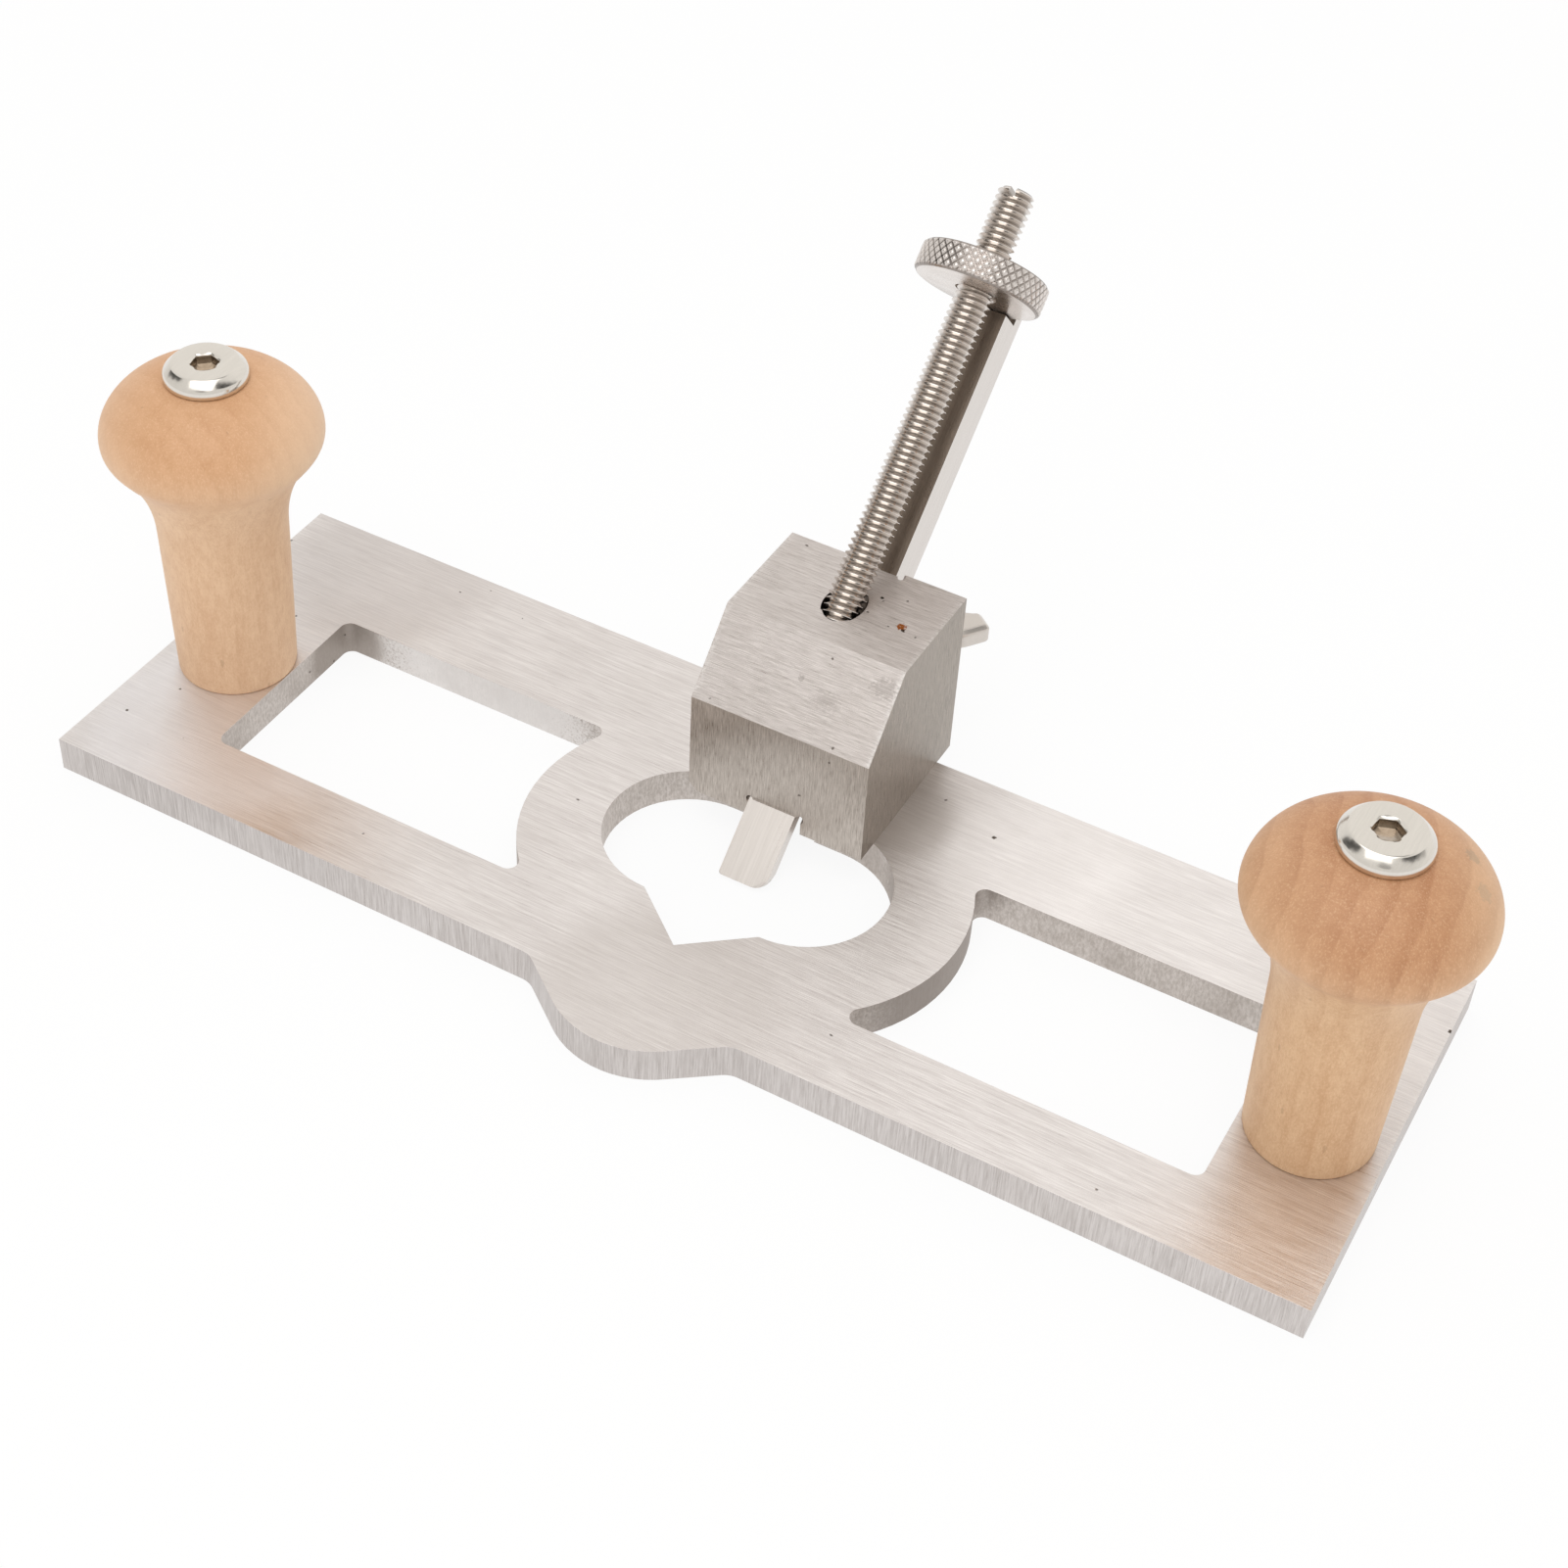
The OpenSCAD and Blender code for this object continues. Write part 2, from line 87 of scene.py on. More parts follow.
class Slot(Enum):
    """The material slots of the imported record."""

    ROD = "rod_steel"
    WHEEL = "wheel_steel"
    WING = "wing_steel"
    WOOD = "knob_wood"
    BOLT = "bolt_nickel"


class Side(Enum):
    """The two ends of the plate, seen from the front."""

    LEFT = "left"
    RIGHT = "right"


def tone(red: int, green: int, blue: int) -> Tone:
    """Turns a screen colour into the linear colour that a shader takes.

    Args:
        red: Red, from 0 to 255.
        green: Green, from 0 to 255.
        blue: Blue, from 0 to 255.

    Returns:
        The linear colour with full alpha.
    """
    levels = [v / 255 for v in (red, green, blue)]
    linear = [v / 12.92 if v <= 0.04045 else ((v + 0.055) / 1.055) ** 2.4 for v in levels]
    return (linear[0], linear[1], linear[2], 1.0)


# Shapes


@dataclass
class Shape:
    """Points and faces of a mesh while it is being built."""

    points: list[Point] = field(default_factory=list)
    faces: list[tuple[int, ...]] = field(default_factory=list)

    def add(self, other: Shape) -> Shape:
        """Adds another shape's points and faces to this one.

        Args:
            other: The shape to add.

        Returns:
            This shape.
        """
        start = len(self.points)
        self.points += other.points
        self.faces += [tuple(i + start for i in face) for face in other.faces]
        return self

    def placed(self, place: Matrix) -> Shape:
        """Moves the shape by a matrix and returns the moved copy."""
        return Shape([tuple(place @ Vector(p)) for p in self.points], list(self.faces))

    def mesh(self, name: str) -> Mesh:
        """Makes a Blender mesh with its faces turned outwards.

        Args:
            name: Name of the mesh.

        Returns:
            The new mesh.
        """
        made = bpy.data.meshes.new(name)
        made.from_pydata(self.points, [], self.faces)
        work = bmesh.new()
        work.from_mesh(made)
        bmesh.ops.remove_doubles(work, verts=work.verts, dist=1e-7)
        bmesh.ops.recalc_face_normals(work, faces=work.faces)
        work.to_mesh(made)
        work.free()
        return made


def ring(radius: float, height: float, count: int, sides: int = 0) -> list[Point]:
    """Points of one level ring, a circle or a regular polygon.

    Args:
        radius: Radius, or the distance to a corner where it has sides.
        height: Height of the ring.
        count: Number of points.
        sides: Number of straight sides, or 0 for a circle.

    Returns:
        The points, anticlockwise seen from above.
    """
    points = []
    for i in range(count):
        angle = 2 * math.pi * i / count
        reach = radius
        if sides:
            half = math.pi / sides
            reach = radius * math.cos(half) / math.cos(angle % (2 * half) - half)
        points.append((reach * math.cos(angle), reach * math.sin(angle), height))
    return points


def skin(rings: Sequence[list[Point]], looped: bool = False) -> Shape:
    """Joins rings of equal length into one closed skin.

    Args:
        rings: The rings, in order along the surface.
        looped: Whether the last ring joins the first. If not, both are closed with a fan.

    Returns:
        The skin.
    """
    count = len(rings[0])
    made = Shape([p for one in rings for p in one])
    last = len(rings) if looped else len(rings) - 1
    for row in range(last):
        low, high = row * count, (row + 1) % len(rings) * count
        for i in range(count):
            j = (i + 1) % count
            made.faces.append((low + i, low + j, high + j, high + i))
    if not looped:
        for start in (0, (len(rings) - 1) * count):
            middle = np.mean(made.points[start : start + count], axis=0)
            made.points.append(tuple(middle))
            hub = len(made.points) - 1
            made.faces += [(start + i, start + (i + 1) % count, hub) for i in range(count)]
    return made


def lathe(profile: Sequence[Flat], count: int, looped: bool = False) -> Shape:
    """Turns a profile of radius and height round the upright axis.

    Args:
        profile: Points of radius and height.
        count: Number of steps round the axis.
        looped: Whether the profile closes on itself, as round a bore.

    Returns:
        The turned shape.
    """
    return skin([ring(r, z, count) for r, z in profile], looped)


def eased(line: Sequence[Flat], rounds: int, share: float) -> list[Flat]:
    """Rounds the corners of an open line and keeps its two ends.

    Args:
        line: The points of the line.
        rounds: How often each corner is cut.
        share: Share of each stretch that a cut takes.

    Returns:
        The rounded line.
    """
    now = [np.array(p, float) for p in line]
    for _ in range(rounds):
        cut = [now[0]]
        for a, b in zip(now, now[1:]):
            cut += [a + (b - a) * share, b - (b - a) * share]
        now = [*cut, now[-1]]
    return [(float(p[0]), float(p[1])) for p in now]


def rounded(outline: Sequence[Flat], reach: float) -> list[Flat]:
    """Rounds every corner of a closed outline.

    Args:
        outline: The corners in order.
        reach: How far from a corner its rounding starts.

    Returns:
        The rounded outline.
    """
    points = []
    for i, corner in enumerate(outline):
        here, before = np.array(corner), np.array(outline[i - 1])
        after = np.array(outline[(i + 1) % len(outline)])
        start = here + (before - here) * reach / max(float(np.hypot(*(before - here))), 2 * reach)
        end = here + (after - here) * reach / max(float(np.hypot(*(after - here))), 2 * reach)
        for share in (0.0, 0.35, 0.65, 1.0):
            point = start * (1 - share) ** 2 + here * 2 * share * (1 - share) + end * share**2
            points.append((float(point[0]), float(point[1])))
    return points


def cubic(a: Flat, b: Flat, c: Flat, d: Flat, steps: int) -> list[Flat]:
    """Draws a cubic curve.

    Args:
        a: Where it starts.
        b: The handle of its start.
        c: The handle of its end.
        d: Where it ends.
        steps: Number of points.

    Returns:
        Its points, without a itself.
    """
    a, b, c, d = (np.array(p, float) for p in (a, b, c, d))
    made = []
    for i in range(1, steps + 1):
        t = i / steps
        p = (1 - t) ** 3 * a + 3 * (1 - t) ** 2 * t * b + 3 * (1 - t) * t * t * c + t**3 * d
        made.append((float(p[0]), float(p[1])))
    return made


def show(shape: Shape | Mesh, name: str, crease: float = 35.0) -> Piece:
    """Puts a shape into the scene with smooth faces and sharp creases.

    Args:
        shape: The shape or the finished mesh.
        name: Name of the piece.
        crease: Angle in degrees above which an edge stays sharp.

    Returns:
        The new object.
    """
    mesh = shape.mesh(name) if isinstance(shape, Shape) else shape
    mesh.shade_smooth()
    mesh.set_sharp_from_angle(angle=math.radians(crease))
    piece = bpy.data.objects.new(name, mesh)
    bpy.context.scene.collection.objects.link(piece)
    return piece


def baked(piece: Piece, name: str) -> Mesh:
    """Applies a piece's modifiers and removes the piece.

    Args:
        piece: The piece.
        name: Name of the new mesh.

    Returns:
        The new mesh.
    """
    bpy.context.view_layer.update()
    graph = bpy.context.evaluated_depsgraph_get()
    mesh = bpy.data.meshes.new_from_object(piece.evaluated_get(graph))
    mesh.name = name
    bpy.data.objects.remove(piece)
    return mesh


def carved(body: Shape, tools: Sequence[tuple[Shape, str]], name: str) -> Mesh:
    """Cuts or trims a closed shape with other closed shapes.

    Args:
        body: The shape to work on.
        tools: Pairs of a tool shape and DIFFERENCE or INTERSECT.
        name: Name of the mesh.

    Returns:
        The carved mesh.
    """
    piece = show(body, name)
    helpers = []
    for shape, operation in tools:
        helper = show(shape, name + "_tool")
        cut = piece.modifiers.new("cut", "BOOLEAN")
        cut.operation = operation
        cut.solver = "EXACT"
        cut.object = helper
        helpers.append(helper)
    mesh = baked(piece, name)
    for helper in helpers:
        bpy.data.objects.remove(helper)
    return mesh


def brick(low: Point, high: Point) -> Shape:
    """A closed cutting block between two corners.

    Args:
        low: Its lowest corner.
        high: Its highest corner.

    Returns:
        The block.
    """
    (x0, y0, z0), (x1, y1, z1) = low, high
    rings = [[(x0, y0, z), (x1, y0, z), (x1, y1, z), (x0, y1, z)] for z in (z0, z1)]
    return skin(rings)


@dataclass(frozen=True)
class Thread:
    """A right-hand screw thread with rolled, rounded crests."""

    radius: float
    depth: float
    pitch: float
    low: float
    high: float
    bevel: float
    steps: int = 40
    blank: float = 0.5 * MM
    form: tuple[Flat, ...] = (
        (0.0, 0.0),
        (0.09, 0.07),
        (0.40, 0.86),
        (0.46, 1.0),
        (0.54, 1.0),
        (0.60, 0.86),
        (0.91, 0.07),
    )

    def bar(self) -> Shape:
        """The endless thread, a turn longer than needed at both ends.

        Returns:
            The bar, closed at both ends.
        """
        rows = len(self.form)
        turns = math.ceil((self.high - self.low) / self.pitch) + 2
        start = self.low - self.pitch
        root = self.radius - self.depth
        made = Shape()
        for turn in range(turns):
            for phase, height in self.form:
                for i in range(self.steps):
                    angle = 2 * math.pi * i / self.steps
                    z = start + (turn + phase + i / self.steps) * self.pitch
                    r = root + self.depth * height
                    made.points.append((r * math.cos(angle), r * math.sin(angle), z))
        total = turns * rows
        for row in range(total - rows - 1):
            for i in range(self.steps):
                low, high = row, row + 1
                j = i + 1
                if j == self.steps:
                    corners = (low, i), (low + rows, 0), (high + rows, 0), (high, i)
                else:
                    corners = (low, i), (low, j), (high, j), (high, i)
                made.faces.append(tuple(a * self.steps + b for a, b in corners))
        for row in (0, total - rows - 1):
            loop = [row * self.steps + i for i in range(self.steps)]
            loop += [(row + k) * self.steps for k in range(rows, 0, -1)]
            middle = np.mean([made.points[k] for k in loop], axis=0)
            made.points.append((0.0, 0.0, float(middle[2])))
            hub = len(made.points) - 1
            made.faces += [(a, b, hub) for a, b in zip(loop, [*loop[1:], loop[0]])]
        return made

    def ends(self) -> Shape:
        """The bevelled round blank that trims the thread's two ends.

        Returns:
            The blank.
        """
        wide = self.radius + self.blank
        tip = self.radius - self.bevel
        rise = wide - tip
        low, high = self.low, self.high
        line = [(tip, low), (wide, low + rise), (wide, high - rise), (tip, high)]
        return lathe(line, self.steps * 2)


# Shader nodes


class Tree:
    """Places and joins shader nodes in one node tree."""

    def __init__(self, tree: bpy.types.NodeTree) -> None:
        """Takes the tree to work in."""
        self.tree = tree

    def add(self, kind: str, **settings: object) -> Node:
        """Adds a node and gives it its settings.

        Args:
            kind: Blender's name for its type.
            settings: Its settings, by name.

        Returns:
            The node.
        """
        node = self.tree.nodes.new(kind)
        for name, value in settings.items():
            setattr(node, name, value)
        return node

    def feed(self, socket: Socket, source: object) -> None:
        """Joins a socket to another one, or writes a value into it.

        Args:
            socket: The socket that takes it.
            source: The other socket, or the value.
        """
        if isinstance(source, Socket):
            self.tree.links.new(source, socket)
        else:
            socket.default_value = source

    def calc(self, work: str, first: object, second: object = 0.0, clamp: bool = False) -> Socket:
        """Adds one step of arithmetic on numbers.

        Args:
            work: The operation.
            first: The first number.
            second: The second number.
            clamp: Whether the result stays between 0 and 1.

        Returns:
            The result.
        """
        node = self.add("ShaderNodeMath", operation=work, use_clamp=clamp)
        self.feed(node.inputs[0], first)
        self.feed(node.inputs[1], second)
        return node.outputs[0]

    def plus(self, first: object, second: object) -> Socket:
        """Adds two numbers."""
        return self.calc("ADD", first, second)

    def minus(self, first: object, second: object) -> Socket:
        """Takes the second number from the first."""
        return self.calc("SUBTRACT", first, second)

    def times(self, first: object, second: object) -> Socket:
        """Multiplies two numbers."""
        return self.calc("MULTIPLY", first, second)

    def away(self, x: object, y: object) -> Socket:
        """Distance of a place from the upright axis."""
        return self.calc("SQRT", self.plus(self.times(x, x), self.times(y, y)))

    def point(self, work: str, first: object, second: object = (0.0, 0.0, 0.0)) -> Node:
        """Adds one step of arithmetic on vectors.

        Args:
            work: The operation.
            first: The first vector.
            second: The second vector.

        Returns:
            The node, which has a vector and a number.
        """
        node = self.add("ShaderNodeVectorMath", operation=work)
        self.feed(node.inputs[0], first)
        self.feed(node.inputs[1], second)
        return node

    def dot(self, first: object, second: object) -> Socket:
        """Adds the product of two vectors that says how far they agree."""
        return self.point("DOT_PRODUCT", first, second).outputs["Value"]

    def scaled(self, vector: object, scale: object) -> Socket:
        """Multiplies a vector by one number for each direction."""
        return self.point("MULTIPLY", vector, scale).outputs[0]

    def mix(self, share: object, first: object, second: object) -> Socket:
        """Mixes two colours.

        Args:
            share: Share of the second colour.
            first: The first colour.
            second: The second colour.

        Returns:
            The mixed colour.
        """
        node = self.add("ShaderNodeMix", data_type="RGBA", blend_type="MIX", clamp_factor=True)
        self.feed(node.inputs[0], share)
        self.feed(node.inputs[6], first)
        self.feed(node.inputs[7], second)
        return node.outputs[2]

    def stain(self, colour: object, mask: object, amount: object, shade: object) -> Socket:
        """Lays a shade over a colour, by a mask and an amount."""
        return self.mix(self.times(mask, amount), colour, shade)

    def between(self, share: object, first: object, second: object) -> Socket:
        """Mixes two numbers.

        Args:
            share: Share of the second number.
            first: The first number.
            second: The second number.

        Returns:
            The mixed number.
        """
        node = self.add("ShaderNodeMix", data_type="FLOAT", clamp_factor=True)
        self.feed(node.inputs[0], share)
        self.feed(node.inputs[2], first)
        self.feed(node.inputs[3], second)
        return node.outputs[0]

    def step(
        self, value: object, low: float, high: float, start: float = 0.0, end: float = 1.0
    ) -> Socket:
        """Maps a number smoothly from one range to another, held at both ends.

        Args:
            value: The number.
            low: Where the first range starts.
            high: Where it ends.
            start: What low becomes.
            end: What high becomes.

        Returns:
            The mapped number.
        """
        node = self.add("ShaderNodeMapRange", interpolation_type="SMOOTHSTEP")
        for socket, source in zip(node.inputs, (value, low, high, start, end)):
            self.feed(socket, source)
        return node.outputs[0]

    def noise(
        self, vector: object, scale: float | Point, detail: float = 2.0, rough: float = 0.5
    ) -> Socket:
        """Adds a noise texture.

        Args:
            vector: The place on the surface.
            scale: One scale, or one for each direction.
            detail: Number of finer layers.
            rough: Strength of the finer layers.

        Returns:
            The noise's number.
        """
        if isinstance(scale, tuple):
            vector, scale = self.scaled(vector, scale), 1.0
        node = self.add("ShaderNodeTexNoise")
        self.feed(node.inputs["Vector"], vector)
        self.feed(node.inputs["Scale"], scale)
        self.feed(node.inputs["Detail"], detail)
        self.feed(node.inputs["Roughness"], rough)
        return node.outputs[0]

    def split(self, vector: object) -> list[Socket]:
        """Splits a vector into its three numbers.

        Args:
            vector: The vector.

        Returns:
            The three numbers.
        """
        node = self.add("ShaderNodeSeparateXYZ")
        self.feed(node.inputs[0], vector)
        return list(node.outputs)

    def group(self, effect: bpy.types.NodeTree, **values: object) -> list[Socket]:
        """Places a shared effect and gives its inputs their values.

        Args:
            effect: The effect's node group.
            values: Value of each input, by its name in small letters.

        Returns:
            The effect's outputs.
        """
        node = self.add("ShaderNodeGroup", node_tree=effect)
        for name, value in values.items():
            self.feed(node.inputs[name.capitalize()], value)
        return list(node.outputs)


ORIGIN = (0.0, 0.0, 0.0)


class Effects:
    """The shader effects that more than one finish uses, each built once."""

    def __init__(self) -> None:
        """Builds every effect."""
        self.grain = self._grain()
        self.pits = self._pits()
        self.spot = self._spot()
        self.turned = self._turned()
        self.wear = self._wear()

    def _start(
        self, name: str, inputs: dict[str, object], outputs: dict[str, str]
    ) -> tuple[Tree, list, list]:
        """Starts an effect's group with its named sockets.

        Args:
            name: Name of the group.
            inputs: Default of each input, by name. Its type gives the socket's.
            outputs: Socket type of each output, by name.

        Returns:
            The tree, the sockets that come in and the sockets that go out.
        """
        made = bpy.data.node_groups.new(name, "ShaderNodeTree")
        face = made.interface
        for label, value in inputs.items():
            kind = "Float"
            if isinstance(value, tuple):
                kind = "Color" if len(value) == 4 else "Vector"
            socket = face.new_socket(name=label, in_out="INPUT", socket_type="NodeSocket" + kind)
            socket.default_value = value
        for label, kind in outputs.items():
            face.new_socket(name=label, in_out="OUTPUT", socket_type="NodeSocket" + kind)
        tree = Tree(made)
        into = tree.add("NodeGroupInput")
        out = tree.add("NodeGroupOutput")
        return tree, into.outputs, out.inputs

    def _grain(self) -> bpy.types.NodeTree:
        """Fine parallel lines, as a belt or a turning tool leaves them.

        Returns:
            The effect's node group.
        """
        t, i, o = self._start(
            "Brushed grain",
            {
                "Place": ORIGIN,
                "Stretch": (1.0, 1.0, 1.0),
                "Contrast": 1.0,
                "Light": tone(220, 214, 210),
                "Dark": tone(190, 184, 180),
            },
            {"Colour": "Color", "Lines": "Float"},
        )
        along = t.scaled(i["Place"], i["Stretch"])
        fine = t.noise(along, 1.0, 4.0, 0.72)
        wide = t.noise(t.point("SCALE", along).outputs[0], 0.37, 2.0, 0.6)
        broad = t.noise(i["Place"], 26.0)
        total = t.plus(t.times(fine, 0.72), t.times(wide, 0.16))
        total = t.plus(total, t.times(broad, 0.12))
        swing = t.times(t.minus(total, 0.5), i["Contrast"])
        lines = t.calc("ADD", t.times(swing, 3.2), 0.55, clamp=True)
        t.feed(o["Lines"], lines)
        t.feed(o["Colour"], t.mix(lines, i["Dark"], i["Light"]))
        return t.tree

    def _pits(self) -> bpy.types.NodeTree:
        """Small scattered pits and inclusions, with ragged rims.

        Returns:
            The effect's node group.
        """
        t, i, o = self._start(
            "Pits", {"Place": ORIGIN, "Scale": 200.0, "Size": 0.1, "Share": 0.2}, {"Mask": "Float"}
        )
        wander = t.add("ShaderNodeTexNoise")
        t.feed(wander.inputs["Vector"], i["Place"])
        t.feed(wander.inputs["Scale"], 600.0)
        bend = t.point("SCALE", wander.outputs[1])
        bend.inputs["Scale"].default_value = 1.2 * MM
        cells = t.add("ShaderNodeTexVoronoi", feature="F1", distance="EUCLIDEAN")
        t.feed(cells.inputs["Vector"], t.point("ADD", i["Place"], bend.outputs[0]).outputs[0])
        t.feed(cells.inputs["Scale"], i["Scale"])
        chosen = t.calc("LESS_THAN", t.split(cells.outputs["Color"])[0], i["Share"])
        near = t.calc("DIVIDE", cells.outputs["Distance"], i["Size"])
        t.feed(o["Mask"], t.times(chosen, t.step(near, 1.0, 0.55)))
        return t.tree

    def _spot(self) -> bpy.types.NodeTree:
        """One ragged spot at a given place.

        Returns:
            The effect's node group.
        """
        t, i, o = self._start(
            "Spot",
            {"Place": ORIGIN, "Centre": ORIGIN, "Radius": 1 * MM, "Ragged": 0.6},
            {"Mask": "Float"},
        )
        apart = t.point("DISTANCE", i["Place"], i["Centre"]).outputs["Value"]
        share = t.calc("DIVIDE", apart, i["Radius"])
        wander = t.minus(t.noise(i["Place"], 1900.0, 3.0, 0.7), 0.5)
        pushed = t.plus(share, t.times(wander, t.times(i["Ragged"], 4.0)))
        t.feed(o["Mask"], t.step(pushed, 1.0, 0.6))
        return t.tree

    def _turned(self) -> bpy.types.NodeTree:
        """Concentric marks round the local upright axis.

        Returns:
            The effect's node group.
        """
        t, i, o = self._start(
            "Turned marks", {"Place": ORIGIN, "Pitch": 0.2 * MM}, {"Lines": "Float"}
        )
        x, y, z = t.split(i["Place"])
        flat = t.add("ShaderNodeCombineXYZ")
        t.feed(flat.inputs[0], t.calc("DIVIDE", t.away(x, y), i["Pitch"]))
        t.feed(flat.inputs[1], t.calc("DIVIDE", z, i["Pitch"]))
        t.feed(o["Lines"], t.noise(flat.outputs[0], 0.5, 3.0, 0.7))
        return t.tree

    def _wear(self) -> bpy.types.NodeTree:
        """Bright broken scratches that gather along an edge.

        Returns:
            The effect's node group.
        """
        t, i, o = self._start(
            "Edge wear", {"Place": ORIGIN, "Apart": 10 * MM, "Width": 1 * MM}, {"Mask": "Float"}
        )
        near = t.step(t.calc("DIVIDE", i["Apart"], i["Width"]), 1.0, 0.0)
        broken = t.noise(i["Place"], 1500.0, 4.0, 0.75)
        t.feed(o["Mask"], t.times(near, t.step(broken, 0.42, 0.62)))
        return t.tree


# Finishes


@dataclass(frozen=True)
class Axis:
    """A piece's own upright axis: where it starts and how far it leans back."""

    start: Point
    lean: float = 0.0

    def place(self) -> Matrix:
        """The matrix that stands a shape on this axis."""
        return Matrix.Translation(self.start) @ Matrix.Rotation(-self.lean, 4, "X")

    def local(self, tree: Tree, vector: object) -> Socket:
        """Turns object places into places along this axis.

        Args:
            tree: The material's tree.
            vector: The object places.

        Returns:
            The places along the axis.
        """
        node = tree.add("ShaderNodeMapping", vector_type="TEXTURE")
        tree.feed(node.inputs["Vector"], vector)
        tree.feed(node.inputs["Location"], self.start)
        tree.feed(node.inputs["Rotation"], (-self.lean, 0.0, 0.0))
        return node.outputs[0]


@dataclass(frozen=True)
class Mark:
    """One spot on a surface, in object places: a real stain or pit, or a patch of painted light or
    shade.
    """

    place: Point
    radius: float
    shade: Tone
    ragged: float = 0.5
    share: float = 1.0
    smear: float = 1.0
    roughness: float = 0.6


def mark(x: float, y: float, z: float, radius: float, shade: Tone, *rest: float) -> Mark:
    """A mark whose place and radius are given in millimetres."""
    return Mark((x * MM, y * MM, z * MM), radius * MM, shade, *rest)


class Coat(Tree):
    """One material while it is being built."""

    def __init__(self, name: str, metallic: float, effects: Effects) -> None:
        """Starts the material.

        Args:
            name: Name of the material.
            metallic: 1 for metal and 0 for wood.
            effects: The shared effects.
        """
        self.made = bpy.data.materials.new(name)
        self.made.use_nodes = True
        super().__init__(self.made.node_tree)
        self.effects = effects
        self.surface = self.tree.nodes["Principled BSDF"].inputs
        self.surface["Metallic"].default_value = metallic
        coordinates = self.add("ShaderNodeTexCoord").outputs
        self.place, self.normal = coordinates["Object"], coordinates["Normal"]

    def brushed(
        self, place: object, stretch: Point, contrast: float, tones: tuple[Tone, Tone]
    ) -> list[Socket]:
        """Places the brushed grain.

        Args:
            place: The place on the surface.
            stretch: Scale of the lines in each direction.
            contrast: How far the lines swing.
            tones: The light and the dark colour.

        Returns:
            The grain's colour and its lines.
        """
        light, dark = tones
        grain = self.effects.grain
        return self.group(
            grain, place=place, stretch=stretch, contrast=contrast, light=light, dark=dark
        )

    def pits(self, place: object, scale: float, size: float, share: float) -> Socket:
        """Places the scattered pits.

        Args:
            place: The place on the surface.
            scale: Number of cells in each metre.
            size: Size of a pit as a share of its cell.
            share: Share of the cells that have a pit.

        Returns:
            The mask of the pits.
        """
        return self.group(self.effects.pits, place=place, scale=scale, size=size, share=share)[0]

    def marked(self, colour: object, rough: object, marks: Sequence[Mark]) -> list:
        """Lays marks over a colour and a roughness.

        Args:
            colour: The colour so far.
            rough: The roughness so far.
            marks: The marks.

        Returns:
            The new colour and the new roughness.
        """
        for one in marks:
            drawn = self.scaled(self.place, (1 / one.smear, 1.0, 1.0))
            centre = (one.place[0] / one.smear, one.place[1], one.place[2])
            spot = self.group(
                self.effects.spot, place=drawn, centre=centre, radius=one.radius, ragged=one.ragged
            )
            share = self.times(spot[0], one.share)
            colour = self.mix(share, colour, one.shade)
            rough = self.between(share, rough, one.roughness)
        return [colour, rough]

    def finished(
        self, colour: object, rough: object, layers: Sequence[tuple[object, float]]
    ) -> Material:
        """Feeds the surface shader.

        Args:
            colour: The finished colour.
            rough: The finished roughness.
            layers: Pairs of a height from 0 to 1 and its depth in metres.

        Returns:
            The material.
        """
        self.feed(self.surface["Base Color"], colour)
        self.feed(self.surface["Roughness"], rough)
        normal = None
        for height, depth in layers:
            node = self.add("ShaderNodeBump")
            node.inputs["Strength"].default_value = 1.0
            node.inputs["Distance"].default_value = depth
            self.feed(node.inputs["Height"], height)
            if normal is not None:
                self.feed(node.inputs["Normal"], normal)
            normal = node.outputs[0]
        self.feed(self.surface["Normal"], normal)
        return self.made


@dataclass(frozen=True)
class Finish:
    """What every finish has: the name of its material."""

    name: str


